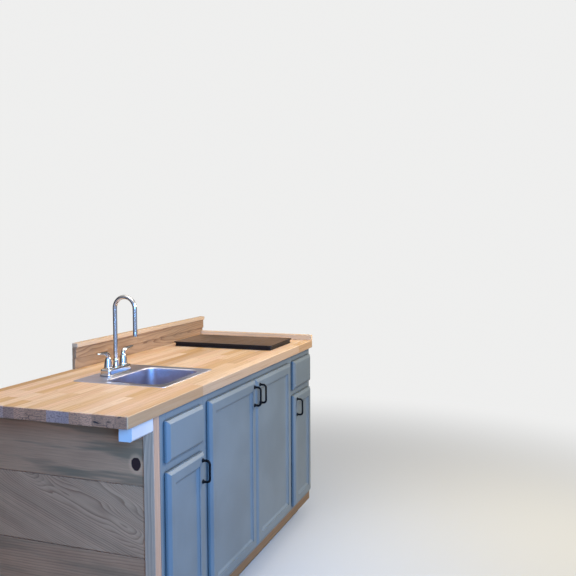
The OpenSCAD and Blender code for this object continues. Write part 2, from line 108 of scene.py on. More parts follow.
class RunSizes(bpy.types.PropertyGroup):
    ease: length("Eased edge", 0.0012, "Radius along the edges of frames and boards")
    board_ease: length("Board edge", 0.0025, "Radius along the long edges of the panel boards")
    top_ease: length("Worktop edge", 0.0030, "Radius along the worktop's upper and lower edges")
    top_corner: length("Worktop corner", 0.0060, "Radius of the worktop's upright corners")
    stave_width: length("Stave width", 0.0403, "Width of one stave of the butcher block")
    stave_length: length("Stave length", 0.5200, "Mean length of one stave of the butcher block")
    cutout_gap: length("Cut-out gap", 0.0080, "Gap between the bowl and the worktop's cut-out")
    stile: length("Stile", 0.0380, "Width of a face frame's stiles")
    top_rail: length("Top rail", 0.0450, "Height of a face frame's top rail")
    bottom_rail: length("Bottom rail", 0.0300, "Height of a face frame's bottom rail")
    mid_rail: length("Middle rail", 0.0570, "Height of the rail between a drawer and its door")
    overlay: length("Overlay", 0.0127, "Overlap of doors and drawer fronts on the face frame")
    door_frame: length("Door frame", 0.0420, "Width of a door's stiles and rails")
    moulding: length("Moulding", 0.0130, "Width of the moulding round a door's panel")
    quirk: length("Moulding step", 0.0030, "Depth of the square step between a door's frame and its moulding")
    panel_depth: length("Panel depth", 0.0090, "Depth of a door's panel behind its face")
    back_recess: length("Back recess", 0.0045, "Depth of the panel behind the back of a door")
    bevel_width: length("Bevel width", 0.0120, "Width of the bevel round doors and drawer fronts")
    bevel_depth: length("Bevel depth", 0.0080, "Depth of the bevel round doors and drawer fronts")
    pull_bar: length("Pull bar", 0.0090, "Diameter of a pull's bar")
    pull_foot: length("Pull foot", 0.0160, "Diameter of a pull's flared feet")
    pull_bend: length("Pull bend", 0.0120, "Radius of the bends in a pull's bar")
    bowl_draft: length("Bowl draft", 0.0040, "How far the bowl's walls lean in at their foot")
    bowl_rim: length("Bowl rim", 0.0360, "Width of the sink's rim beside and before the bowl")
    bowl_ledge: length("Bowl ledge", 0.1100, "Depth of the sink's ledge behind the bowl")
    bowl_corner: length("Bowl corner", 0.0450, "Radius of the bowl's upright corners")
    bowl_fillet: length("Bowl fillet", 0.0180, "Radius between the bowl's walls and its floor")
    rim_corner: length("Rim corner", 0.0120, "Radius of the corners of the sink's rim")
    sheet: length("Sheet", 0.0020, "Thickness of the sink's steel")
    spout_tube: length("Spout tube", 0.0160, "Diameter of the spout's tube")
    spout_arch: length("Spout arch", 0.0440, "Radius of the spout's arch")
    spout_leg: length("Spout leg", 0.1060, "Length of the spout's straight leg down from its arch")
    lever_bend: length("Lever bend", 0.0170, "Radius of the bend from a tap's column into its lever")
    lever_neck: length("Lever neck", 0.0180, "Diameter of a tap's column at its neck")
    hinge_place: length("Hinge place", 0.0850, "Distance from a door's end to its nearer hinge")
    cup: length("Hinge cup", 0.0350, "Diameter of a hinge's cup in the back of a door")
    cup_edge: length("Cup edge", 0.0050, "Distance from a door's edge to its hinge cups")
    drawer_wall: length("Drawer wall", 0.0120, "Thickness of the drawer box's walls")
    drawer_floor: length("Drawer floor", 0.0060, "Thickness of the drawer box's floor")
    board_gap: length("Board gap", 0.0013, "How far a board of the end panel stops short of its joint")
    block_bevel: length("Block bevel", 0.0060, "Bevel along the lower front edge of the overhang's block")


class RunColours(bpy.types.PropertyGroup):
    paint: colour("Paint", (0.167, 0.191, 0.198), "Cabinet paint")
    paint_worn: colour("Worn paint", (0.260, 0.305, 0.350), "Paint rubbed thin along its edges")
    stave_light: colour("Light stave", (0.790, 0.565, 0.376), "Palest staves of the worktop")
    stave_middle: colour("Middle stave", (0.598, 0.357, 0.160), "Most staves of the worktop")
    stave_pink: colour("Pink stave", (0.776, 0.500, 0.348), "Pinkish staves of the worktop")
    stave_dark: colour("Dark stave", (0.392, 0.204, 0.084), "Darkest staves and streaks of the worktop")
    stave_knot: colour("Stave knot", (0.220, 0.100, 0.050), "Knots in the worktop's staves")
    glue_line: colour("Glue line", (0.260, 0.140, 0.070), "Seams between the staves")
    end_grain: colour("End grain", (0.610, 0.250, 0.127), "Sawn ends of the worktop's staves")
    end_check: colour("End check", (0.172, 0.083, 0.053), "Rings and pores in the sawn ends")
    end_grey: colour("Grey end", (0.360, 0.290, 0.300), "Sawn ends of the greyest staves")
    end_crack: colour("End crack", (0.040, 0.026, 0.024), "Cracks across the sawn ends")
    end_blot: colour("End blot", (0.035, 0.024, 0.022), "Dark blots on the sawn ends")
    pine_light: colour("Light pine", (0.590, 0.270, 0.134), "Early wood of the end panel's boards")
    pine_dark: colour("Dark pine", (0.280, 0.113, 0.056), "Late wood of the end panel's boards")
    pine_warm: colour("Warm pine", (0.640, 0.310, 0.160), "Early wood of the second board")
    pine_stain: colour("Stained pine", (0.215, 0.127, 0.068), "Blue-grey stain in the boards")
    knot: colour("Knot", (0.022, 0.005, 0.005), "Dark knots")
    post: colour("Post", (0.620, 0.360, 0.225), "Corner post")
    splash_light: colour("Light splash", (0.430, 0.260, 0.140), "Early wood of the splash boards")
    splash_dark: colour("Dark splash", (0.150, 0.075, 0.040), "Late wood of the splash boards")
    cap_light: colour("Splash cap", (0.640, 0.430, 0.260), "Cap on the splash boards")
    strip_warm: colour("Base strip", (0.270, 0.155, 0.078), "Strip below the face frames")
    strip_pale: colour("End strip", (0.840, 0.560, 0.320), "Strip at the far end of the worktop")
    white_paint: colour("White paint", (0.665, 0.610, 0.580), "Block under the overhang")
    white_worn: colour("Worn white paint", (0.700, 0.620, 0.500), "The block's paint rubbed thin")
    birch: colour("Birch", (0.640, 0.470, 0.300), "Plywood inside the cabinets")
    # Painted shade: the toe board's near-black colour stands for the shadow deep in the toe-kick
    toe: colour("Toe board", (0.020, 0.019, 0.018), "Toe board")
    stainless: colour("Stainless", (0.495, 0.445, 0.495), "Sink")
    # Painted highlight: a lighter colour for the top of the sink's rim
    sink_rim_highlight: colour("Sink rim", (0.570, 0.550, 0.610), "Painted highlight on the sink's rim")
    zinc: colour("Zinc", (0.600, 0.600, 0.610), "Runners and hinges")
    chrome: colour("Chrome", (0.600, 0.580, 0.560), "Tap")
    black_metal: colour("Black metal", (0.005, 0.005, 0.006), "Pulls")
    hob_case: colour("Hob case", (0.007, 0.005, 0.005), "Body of the hob")
    hob_glass: colour("Hob glass", (0.165, 0.100, 0.063), "Top plate of the hob")
    floor: colour("Floor", (0.560, 0.565, 0.570), "Studio floor")
    floor_bounce: colour("Floor bounce", (0.330, 0.310, 0.290), "Light that the studio floor throws back")
    backdrop: colour("Backdrop", (0.860, 0.860, 0.855), "What stands behind the run")
    room_dark: colour("Dark room", (0.070, 0.060, 0.055), "What gloss sees behind and to the right")
    room_pale: colour("Pale room", (0.420, 0.530, 0.800), "What gloss sees in front and to the left")
    room_above: colour("Room above", (0.850, 0.850, 0.850), "What gloss sees overhead")
    soft_light: colour("Soft light", (0.950, 0.970, 1.000), "Light from all round")


class RunView(bpy.types.PropertyGroup):
    camera_place: FloatVectorProperty(
        name="Camera place", description="Where the camera stands", default=(-2.5800, -1.4123, 1.4010),
        size=3, subtype="TRANSLATION", unit="LENGTH",
    )
    heading: FloatProperty(
        name="Heading", description="Turn of the camera's aim from +X towards +Y",
        default=math.radians(19.76), subtype="ANGLE",
    )
    pitch: FloatProperty(
        name="Pitch", description="Tilt of the camera's aim above the horizon",
        default=math.radians(-3.425), subtype="ANGLE",
    )
    roll: FloatProperty(
        name="Roll", description="Turn of the camera round its aim", default=math.radians(-0.277),
        subtype="ANGLE",
    )
    lens: FloatProperty(name="Lens", description="Focal length in millimetres", default=43.89, min=10.0)
    top_power: FloatProperty(
        name="Top lamp", description="Power of the lamp above", default=44.0, unit="POWER"
    )
    left_power: FloatProperty(
        name="Left lamp", description="Power of the cool lamp at the left end", default=26.0, unit="POWER"
    )
    front_power: FloatProperty(
        name="Front lamp", description="Power of the lamp in front", default=70.0, unit="POWER"
    )
    world_light: FloatProperty(
        name="World light", description="Strength of the light from all round", default=0.17, min=0.0
    )
    fade_start: length(
        "Fade start", 1.3, "Distance from the run where the floor starts to run into the backdrop"
    )
    fade_end: length("Fade end", 3.8, "Distance from the run where the floor has become the backdrop")
    floor_reach: length("Floor reach", 40.0, "Distance from the run to the floor's edge")
    segments: IntProperty(name="Segments", description="Facets round a rod or a bowl", default=48, min=12)


def sizes():
    """The run's sizes."""
    return bpy.context.scene.kitchen_sizes


def colours():
    """The run's colours."""
    return bpy.context.scene.kitchen_colours


def look():
    """The camera, the lamps and the studio."""
    return bpy.context.scene.kitchen_view


def hue(name):
    """One of the run's colours."""
    return tuple(getattr(colours(), name))


def times(values, factor):
    """A colour made lighter or darker."""
    return tuple(value * factor for value in values)


# Shapes


def arc(centre, radius, start, stop, steps):
    """Points of an arc in a plane, from one angle in degrees to another."""
    points = []
    for step in range(steps + 1):
        angle = math.radians(start + (stop - start) * step / steps)
        points.append((centre[0] + radius * math.cos(angle), centre[1] + radius * math.sin(angle)))
    return points


def ring_outline(low, high, radius, steps):
    """A rectangle with round corners, as points that run anticlockwise."""
    points = []
    corners = (
        (high[0], low[1], -90), (high[0], high[1], 0),
        (low[0], high[1], 90), (low[0], low[1], 180),
    )
    for x, y, turn in corners:
        centre_x = x - math.copysign(radius, x - low[0] - TINY)
        centre_y = y - math.copysign(radius, y - low[1] - TINY)
        points += arc((centre_x, centre_y), radius, turn, turn + 90, steps)
    return points


def skin(bm, rings, closed=False):
    """Joins rings of vertices. The first and the last are filled, or joined to each other if closed."""
    followers = rings[1:] + rings[:1] if closed else rings[1:]
    for ring, following in zip(rings, followers):
        for i in range(len(ring)):
            j = (i + 1) % len(ring)
            bm.faces.new((ring[i], ring[j], following[j], following[i]))
    if not closed:
        bm.faces.new(rings[0])
        bm.faces.new(rings[-1])


def flat(u, v, level):
    """Lays rings level, one above another."""
    return u, v, level


def skin_rings(bm, rings, steps, place=flat, closed=False):
    """Joins rings with round corners into one skin. A ring is (low, high, corner radius, level)."""
    loops = []
    for low, high, radius, level in rings:
        loops.append([bm.verts.new(place(u, v, level)) for u, v in ring_outline(low, high, radius, steps)])
    skin(bm, loops, closed)


def set_in(low, high, corner, least, foot, outline):
    """Level rings, one for each (inset, rise) of outline, whose corners shrink from corner to least."""
    rings = []
    for inset, rise in outline:
        step = Vector((inset, inset))
        rings.append((low.xy + step, high.xy - step, max(corner - inset, least), foot + rise))
    return rings


def shares(steps):
    """Equal steps of a way, from the end of the first one to 1."""
    return [(step + 1) / steps for step in range(steps)]


def full_turn(steps):
    """The angles of a full turn in equal steps."""
    return [math.tau * k / steps for k in range(steps)]


def soft_box(bm, low, high, radius, steps=2):
    """A box whose edges are all eased by radius."""
    corners = bmesh.ops.create_cube(bm, size=1.0)["verts"]
    low, high = Vector(low), Vector(high)
    for vert in corners:
        vert.co = Vector([(a + b) / 2 + c * (b - a) for a, b, c in zip(low, high, vert.co)])
    edges = list({edge for vert in corners for edge in vert.link_edges})
    bmesh.ops.bevel(bm, geom=edges, offset=radius, segments=steps, profile=0.5, affect="EDGES")


def sweep(bm, path, radii, side, steps=16):
    """A closed rod along path. Each point has two radii, and the first of them lies along side."""
    side = Vector(side)
    rings = []
    for i, point in enumerate(path):
        ahead = Vector(path[min(i + 1, len(path) - 1)]) - Vector(path[max(i - 1, 0)])
        ahead.normalize()
        across = (side - ahead * side.dot(ahead)).normalized()
        other = ahead.cross(across)
        wide, thick = radii[i]
        rings.append([
            bm.verts.new(Vector(point) + across * wide * math.cos(a) + other * thick * math.sin(a))
            for a in full_turn(steps)
        ])
    skin(bm, rings)


def lathe(bm, profile, centre, steps, turn=None):
    """Turns a profile of (radius, height) points round an upright axis, or one that turn has tipped."""
    turn = turn or Matrix.Identity(3)
    centre = Vector(centre)
    rings = []
    for radius, height in profile:
        reach = max(radius, HAIR)
        rings.append([
            bm.verts.new(centre + turn @ Vector((reach * math.cos(a), reach * math.sin(a), height)))
            for a in full_turn(steps)
        ])
    skin(bm, rings)


def put(name, data):
    """Puts a new object into the scene."""
    made = bpy.data.objects.new(name, data)
    bpy.context.scene.collection.objects.link(made)
    return made


def finish(name):
    """The material that open_material made under this name."""
    return bpy.data.materials["kitchen_" + name]


def add_piece(name, bm, material, body, *nodes, sharp=35):
    """Makes the piece, gives it its finish and lets it ride on its body in place of its nodes."""
    bmesh.ops.recalc_face_normals(bm, faces=bm.faces[:])
    mesh = bpy.data.meshes.new(name)
    bm.to_mesh(mesh)
    bm.free()
    mesh.shade_smooth()
    mesh.set_sharp_from_angle(angle=math.radians(sharp))
    piece = put(name, mesh)
    weighted = piece.modifiers.new("Even shading", "WEIGHTED_NORMAL")
    weighted.keep_sharp = True
    mesh.materials.append(finish(material))
    if nodes:
        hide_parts(*nodes)
    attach(piece, body)
    return piece


def box_piece(name, node, material, radius):
    """A piece in place of a box-shaped node, with eased edges."""
    low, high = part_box(node)
    bm = bmesh.new()
    soft_box(bm, low, high, radius, steps=3)
    add_piece(name, bm, material, "root", node)


def dress_node(node, material):
    """Gives a node of the frame its finish."""
    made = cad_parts[node]
    made.data.materials.clear()
    made.data.materials.append(finish(material))


# Finishes


class Shade:
    """Adds nodes to one tree. An input takes a number, a colour or another node's output."""

    def __init__(self, tree):
        self.tree = tree

    def node(self, kind, inputs=None, **settings):
        made = self.tree.nodes.new(kind)
        for name, value in settings.items():
            setattr(made, name, value)
        self.fill(made.inputs, inputs or {})
        return made

    def fill(self, sockets, values):
        """Gives each named socket its value."""
        for name, value in values.items():
            self.feed(sockets[name], value)

    def feed(self, socket, value):
        if isinstance(value, bpy.types.NodeSocket):
            self.tree.links.new(value, socket)
        elif socket.type == "RGBA" and len(value) == 3:
            socket.default_value = (*value, 1.0)
        else:
            socket.default_value = value

    def math(self, operation, first, second=0.0, third=0.0, clamp=False):
        given = {0: first, 1: second, 2: third}
        return self.node("ShaderNodeMath", given, operation=operation, use_clamp=clamp).outputs[0]

    def mix(self, factor, first, second):
        given = {0: factor, 6: first, 7: second}
        return self.node("ShaderNodeMix", given, data_type="RGBA").outputs[2]

    def scaled(self, vector, factors):
        return self.node("ShaderNodeVectorMath", {0: vector, 1: factors}, operation="MULTIPLY").outputs[0]

    def moved(self, vector, offset):
        return self.node("ShaderNodeVectorMath", {0: vector, 1: offset}, operation="ADD").outputs[0]

    def away(self, vector, point):
        """The way from point to vector."""
        return self.node("ShaderNodeVectorMath", {0: vector, 1: point}, operation="SUBTRACT").outputs[0]

    def distance(self, vector):
        return self.node("ShaderNodeVectorMath", {0: vector}, operation="LENGTH").outputs["Value"]

    def split(self, vector):
        return self.node("ShaderNodeSeparateXYZ", {0: vector}).outputs

    def joined(self, x=0.0, y=0.0, z=0.0):
        return self.node("ShaderNodeCombineXYZ", {0: x, 1: y, 2: z}).outputs[0]

    def noise(self, vector, scale, detail, roughness=0.5):
        given = {"Vector": vector, "Scale": scale, "Detail": detail, "Roughness": roughness}
        return self.node("ShaderNodeTexNoise", given).outputs[0]

    def stretched(self, vector, factors, detail, roughness=0.5):
        """Noise whose scale along each axis is that axis's factor."""
        return self.noise(self.scaled(vector, factors), 1.0, detail, roughness)

    def swing(self, value, reach, middle=0.0):
        """Swings round middle, half of reach to each side, as value goes from 0 to 1."""
        return self.math("MULTIPLY_ADD", self.math("SUBTRACT", value, 0.5), reach, middle)

    def step(self, value, low, high, bottom=0.0, top=1.0):
        """Runs smoothly from bottom to top as value goes from low to high."""
        given = {"Value": value, "From Min": low, "From Max": high, "To Min": bottom, "To Max": top}
        return self.node("ShaderNodeMapRange", given, interpolation_type="SMOOTHSTEP").outputs[0]

    def place(self):
        return self.node("ShaderNodeTexCoord").outputs["Object"]

    def facing(self):
        return self.node("ShaderNodeTexCoord").outputs["Normal"]

    def bump(self, height, distance, strength):
        given = {"Height": height, "Distance": distance, "Strength": strength}
        return self.node("ShaderNodeBump", given).outputs[0]

    def group(self, name, inputs):
        return self.node("ShaderNodeGroup", inputs, node_tree=bpy.data.node_groups[name]).outputs

    def surface(self, **inputs):
        """The principled shader and the material's output."""
        made = self.node("ShaderNodeBsdfPrincipled", {k.replace("_", " "): v for k, v in inputs.items()})
        output = self.node("ShaderNodeOutputMaterial")
        self.tree.links.new(made.outputs[0], output.inputs[0])


def open_group(name, inputs, outputs):
    """A new shader group with named sockets, and the nodes that read and fill them."""
    tree = bpy.data.node_groups.new(name, "ShaderNodeTree")
    for label, kind, default in inputs:
        socket = tree.interface.new_socket(label, in_out="INPUT", socket_type="NodeSocket" + kind)
        if default is not None:
            socket.default_value = default
    for label in outputs:
        kind = "NodeSocketVector" if label == "Vector" else "NodeSocketFloat"
        tree.interface.new_socket(label, in_out="OUTPUT", socket_type=kind)
    shade = Shade(tree)
    return shade, shade.node("NodeGroupInput").outputs, shade.node("NodeGroupOutput").inputs


def group_grain():
    """Growth rings, fibres and knots of a sawn board whose grain runs along X."""
    inputs = (
        ("Vector", "Vector", None), ("Heart", "Vector", None), ("Slope", "Float", 0.0),
        ("Ring Width", "Float", 0.006), ("Warp", "Float", 0.010), ("Knot Share", "Float", 0.1),
        ("Bend", "Float", 0.0), ("Seed", "Float", 0.0),
    )
    shade, given, result = open_group("Sawn grain", inputs, ("Rings", "Fibres", "Knots", "Height"))
    moved = shade.moved(given["Vector"], shade.joined(shade.math("MULTIPLY", given["Seed"], 3.71), 0.0, 0.0))
    x, y, z = shade.split(shade.away(given["Vector"], given["Heart"]))
    slow = shade.stretched(moved, (2.3, 7.0, 7.0), 2.0)
    wander = shade.swing(slow, given["Warp"])
    # Scattered knots, one in each cell that chance keeps
    cells = shade.node("ShaderNodeTexVoronoi", {"Vector": shade.scaled(moved, (5.0, 9.0, 1.4)), "Scale": 1.0})
    chance = shade.split(cells.outputs["Color"])
    kept = shade.math("LESS_THAN", chance[0], given["Knot Share"])
    radius = shade.math("MULTIPLY_ADD", chance[1], 0.065, 0.035)
    reach = shade.math("DIVIDE", cells.outputs["Distance"], radius)
    knots = shade.math("MULTIPLY", shade.step(reach, 1.12, 0.85), kept)
    swirl = shade.math("MULTIPLY", shade.step(reach, 4.5, 0.5, 0.0, 0.016), kept)
    # Rings round the heart, which the grain's slope and wander shift and the knots push aside
    depth = shade.math("MULTIPLY_ADD", x, given["Slope"], shade.math("MULTIPLY_ADD", wander, -3.0, z))
    across = shade.math("MULTIPLY_ADD", wander, 1.5, y)
    square = shade.math("ADD", shade.math("MULTIPLY", across, across), shade.math("MULTIPLY", depth, depth))
    tree_radius = shade.math("ADD", shade.math("SQRT", square), shade.math("ADD", swirl, given["Bend"]))
    ripple = shade.stretched(moved, (14.0, 60.0, 60.0), 2.0)
    tree_radius = shade.math("MULTIPLY_ADD", ripple, 0.0022, tree_radius)
    count = shade.math("DIVIDE", tree_radius, given["Ring Width"])
    # Within a year the wood darkens slowly and then turns pale at once, and some years are fainter
    ring = shade.math("FRACT", count)
    year = shade.node("ShaderNodeTexWhiteNoise", {"W": shade.math("FLOOR", count)}, noise_dimensions="1D")
    strength = shade.math("MULTIPLY_ADD", year.outputs["Value"], 0.55, 0.45)
    late = shade.math("MULTIPLY", shade.math("POWER", ring, 2.4), shade.step(ring, 1.0, 0.90))
    late = shade.math("MULTIPLY", late, strength)
    fibres = shade.stretched(moved, (9.0, 620.0, 620.0), 3.0, 0.6)
    inner = shade.math("FRACT", shade.math("MULTIPLY", reach, 3.1))
    ringed_knots = shade.math("MULTIPLY", knots, shade.math("MULTIPLY_ADD", inner, 0.25, 0.75))
    height = shade.math("ADD", shade.math("MULTIPLY", late, 0.45), shade.math("MULTIPLY", fibres, 0.55))
    height = shade.math("SUBTRACT", height, shade.math("MULTIPLY", knots, 0.5))
    shade.fill(result, {"Rings": late, "Fibres": fibres, "Knots": ringed_knots, "Height": height})


def group_knot():
    """One knot at a chosen place, and the bend that it gives to the rings round it."""
    inputs = (("Vector", "Vector", None), ("Centre", "Vector", None), ("Radii", "Vector", (0.02, 0.02, 1.0)))
    shade, given, result = open_group("Single knot", inputs, ("Knot", "Halo", "Bend"))
    away = shade.away(given["Vector"], given["Centre"])
    share = shade.node("ShaderNodeVectorMath", {0: away, 1: given["Radii"]}, operation="DIVIDE")
    uneven = shade.stretched(given["Vector"], (70.0, 70.0, 70.0), 1.0)
    wobble = shade.swing(uneven, 0.25)
    reach = shade.math("ADD", shade.distance(share.outputs[0]), wobble)
    halo = shade.math("MULTIPLY", shade.step(reach, 1.9, 1.0), shade.step(reach, 0.85, 1.1))
    shade.fill(result, {
        "Knot": shade.step(reach, 1.06, 0.90), "Halo": halo, "Bend": shade.step(reach, 4.2, 0.4, 0.0, 0.022),
    })


def group_staves():
    """Staves glued side by side: the tone and grain of each, and the seams between them."""
    inputs = (("Vector", "Vector", None), ("Width", "Float", 0.04), ("Length", "Float", 0.5))
    shade, given, result = open_group("Glued staves", inputs, ("Tone", "Second", "Seam", "Vector"))
    x, y, z = shade.split(given["Vector"])
    rows = shade.math("DIVIDE", y, given["Width"])
    row = shade.math("FLOOR", rows)
    shift = shade.node("ShaderNodeTexWhiteNoise", {"W": row}, noise_dimensions="1D").outputs["Value"]
    columns = shade.math("ADD", shade.math("DIVIDE", x, given["Length"]), shade.math("MULTIPLY", shift, 7.0))
    column = shade.math("FLOOR", columns)
    cell = shade.joined(row, column, 0.0)
    chance = shade.node("ShaderNodeTexWhiteNoise", {"Vector": cell}, noise_dimensions="2D").outputs
    first, second, third = shade.split(chance["Color"])
    beside = shade.math("MULTIPLY", shade.math("PINGPONG", rows, 0.5), given["Width"])
    beyond = shade.math("MULTIPLY", shade.math("PINGPONG", columns, 0.5), given["Length"])
    seam = shade.step(shade.math("MINIMUM", beside, beyond), 0.0007, 0.0002)
    # Each stave comes from a place of its own in the tree
    from_edge = shade.math("MULTIPLY", shade.math("FRACT", rows), given["Width"])
    beside_heart = shade.swing(second, 0.10, from_edge)
    above_heart = shade.swing(third, 0.14, z)
    along_tree = shade.math("MULTIPLY_ADD", first, 9.0, x)
    in_tree = shade.joined(along_tree, beside_heart, above_heart)
    shade.fill(result, {"Tone": first, "Second": second, "Seam": seam, "Vector": in_tree})


def group_rub():
    """Where hands and cloths rub a surface: its convex edges, in uneven patches."""
    inputs = (("Vector", "Vector", None), ("Reach", "Float", 0.003), ("Patch Scale", "Float", 22.0))
    shade, given, result = open_group("Rubbed edges", inputs, ("Rub",))
    edge = shade.node("ShaderNodeAmbientOcclusion", {"Distance": given["Reach"]}, samples=6, inside=True)
    worn = shade.step(edge.outputs["AO"], 0.96, 0.60)
    patches = shade.noise(given["Vector"], given["Patch Scale"], 3.0, 0.6)
    shade.feed(result["Rub"], shade.math("MULTIPLY", worn, shade.step(patches, 0.38, 0.66)))


def group_corners():
    """Painted shade in narrow corners and gaps, darkest where the surfaces close in."""
    shade, given, result = open_group("Narrow corners", (("Reach", "Float", 0.018),), ("Dust",))
    closed = shade.node("ShaderNodeAmbientOcclusion", {"Distance": given["Reach"]}, samples=8).outputs["AO"]
    shade.feed(result["Dust"], shade.step(closed, 0.82, 0.42))


def group_mottle():
    """Slow unevenness and fine speckle, for paint, metal and varnish."""
    inputs = (("Vector", "Vector", None), ("Slow Scale", "Float", 4.0), ("Fine Scale", "Float", 900.0))
    shade, given, result = open_group("Mottle", inputs, ("Slow", "Fine"))
    shade.fill(result, {
        "Slow": shade.noise(given["Vector"], given["Slow Scale"], 3.0, 0.55),
        "Fine": shade.noise(given["Vector"], given["Fine Scale"], 2.0, 0.5),
    })


def open_material(name, slot=None):
    """An empty material, and the slot of the record that its pieces name."""
    material = bpy.data.materials.new("kitchen_" + name)
    material.use_nodes = True
    material.node_tree.nodes.clear()
    material["slot"] = slot or name
    return Shade(material.node_tree)


def mottled(shade, place, slow, fine):
    """Slow unevenness and fine speckle at two scales."""
    return shade.group("Mottle", {"Vector": place, "Slow Scale": slow, "Fine Scale": fine})


def along(shade, axis):
    """The place on the piece, turned so that its grain runs along X."""
    x, y, z = shade.split(shade.place())
    if axis == "Y":
        return shade.joined(y, z, x)
    if axis == "Z":
        return shade.joined(z, y, x)
    return shade.joined(x, z, y)


def heart_of(node, axis, beside, behind):
    """The heart of the tree that a board was sawn from: its way beside and behind the middle of the face."""
    low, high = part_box(node)
    middle = (low + high) / 2
    if axis == "Y":
        return middle.y, middle.z + beside, low.x + behind
    if axis == "Z":
        return middle.z, middle.y + beside, low.x + behind
    return middle.x, middle.z + beside, low.y + behind


def wood_material(name, light, dark, axis, heart, slot=None, seed=0.0, ring=0.006, slope=0.0, warp=0.010,
                  share=0.1, roughness=0.45, fibre=0.25, contrast=1.0, knots=(), stain=0.0, lean=0.0):
    """Sawn board: rings between two tones, fibres, knots and a thin satin finish."""
    shade = open_material(name, slot)
    place = along(shade, axis)
    # A board whose grain runs aslant
    if lean:
        x, y, z = shade.split(place)
        from_middle = shade.math("SUBTRACT", x, heart[0])
        place = shade.joined(x, shade.math("MULTIPLY_ADD", from_middle, lean, y), z)
    # Knots at chosen places, with a pale halo, bend the rings round them
    bend, single, halo = 0.0, 0.0, 0.0
    for centre, radii in knots:
        made = shade.group("Single knot", {"Vector": place, "Centre": centre, "Radii": radii})
        bend = shade.math("ADD", bend, made["Bend"])
        single = shade.math("MAXIMUM", single, made["Knot"])
        halo = shade.math("MAXIMUM", halo, made["Halo"])
    grain = shade.group("Sawn grain", {
        "Vector": place, "Ring Width": ring, "Warp": warp, "Heart": heart, "Slope": slope,
        "Knot Share": share, "Bend": bend, "Seed": seed,
    })
    mottle = mottled(shade, place, 5.0, 700.0)
    # Bands and rings between the two tones, then fibres and stain
    bands = shade.stretched(place, (1.3, 34.0, 34.0), 3.0, 0.55)
    slow = shade.math("SUBTRACT", shade.math("ADD", mottle["Slow"], bands), 1.0)
    rings = shade.math("MULTIPLY", grain["Rings"], contrast)
    tone = shade.math("MULTIPLY_ADD", slow, 0.8, shade.math("ADD", rings, 0.12), clamp=True)
    base = shade.mix(tone, light, dark)
    darker = shade.mix(shade.step(grain["Fibres"], 0.62, 0.35, 0.0, fibre), base, dark)
    if stain:
        patches = shade.stretched(place, (1.8, 19.0, 19.0), 3.0, 0.6)
        blue = shade.step(patches, 0.47, 0.64, 0.0, stain)
        darker = shade.mix(blue, darker, hue("pine_stain"))
    ringed = shade.mix(shade.math("MULTIPLY", halo, 0.45), darker, times(light, 1.5))
    all_knots = shade.math("MAXIMUM", grain["Knots"], single)
    final = shade.mix(shade.math("MULTIPLY", all_knots, 0.97), ringed, hue("knot"))
    gloss = shade.math("MULTIPLY_ADD", grain["Rings"], -0.08, roughness + 0.04)
    gloss = shade.math("MULTIPLY_ADD", all_knots, 0.30, gloss)
    height = shade.math("SUBTRACT", grain["Height"], shade.math("MULTIPLY", single, 0.4))
    shade.surface(
        Base_Color=final, Roughness=gloss, Normal=shade.bump(height, 0.0004, 0.55),
        Specular_IOR_Level=0.28,
    )


def butcher_block_material():
    """Glued staves with oiled grain; its sawn ends show the end grain."""
    size = sizes()
    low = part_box("worktop")[0]
    shade = open_material("butcher_block")
    place = shade.place()
    staves = shade.group("Glued staves", {
        "Vector": shade.moved(place, tuple(-c for c in low)),
        "Width": size.stave_width, "Length": size.stave_length,
    })
    grain = shade.group("Sawn grain", {
        "Vector": staves["Vector"], "Ring Width": 0.0052, "Warp": 0.010, "Knot Share": 0.02, "Seed": 2.0,
    })
    light, middle, dark = hue("stave_light"), hue("stave_middle"), hue("stave_dark")
    base = shade.mix(shade.step(staves["Tone"], 0.15, 0.95), light, middle)
    base = shade.mix(shade.step(staves["Second"], 0.80, 0.90, 0.0, 0.50), base, dark)
    base = shade.mix(shade.step(staves["Second"], 0.30, 0.10, 0.0, 0.50), base, hue("stave_pink"))
    ringed = shade.mix(shade.math("MULTIPLY", grain["Rings"], 0.42), base, dark)
    fine = shade.mix(shade.step(grain["Fibres"], 0.60, 0.30, 0.0, 0.28), ringed, dark)
    long_streaks = shade.stretched(staves["Vector"], (3.0, 230.0, 230.0), 2.0, 0.55)
    streaks = shade.mix(shade.step(long_streaks, 0.54, 0.72, 0.0, 0.60), fine, dark)
    pale = shade.stretched(staves["Vector"], (2.2, 90.0, 90.0), 1.0)
    streaks = shade.mix(shade.step(pale, 0.55, 0.75, 0.0, 0.35), streaks, light)
    knots = shade.mix(shade.math("MULTIPLY", grain["Knots"], 0.50), streaks, hue("stave_knot"))
    seams = shade.mix(shade.math("MULTIPLY", staves["Seam"], 0.50), knots, hue("glue_line"))
    facing = shade.split(shade.facing())
    sawn = shade.step(shade.math("ABSOLUTE", facing[0]), 0.60, 0.80)
    final = shade.mix(sawn, seams, end_grain_colour(shade, place, staves, grain))
    mottle = mottled(shade, place, 7.0, 600.0)
    gloss = shade.math("MULTIPLY_ADD", mottle["Slow"], 0.16, 0.36)
    gloss = shade.math("MULTIPLY_ADD", sawn, 0.18, gloss)
    height = shade.math("SUBTRACT", grain["Height"], shade.math("MULTIPLY", staves["Seam"], 0.9))
    shade.surface(
        Base_Color=final, Roughness=gloss, Normal=shade.bump(height, 0.00025, 0.5), Specular_IOR_Level=0.20,
    )


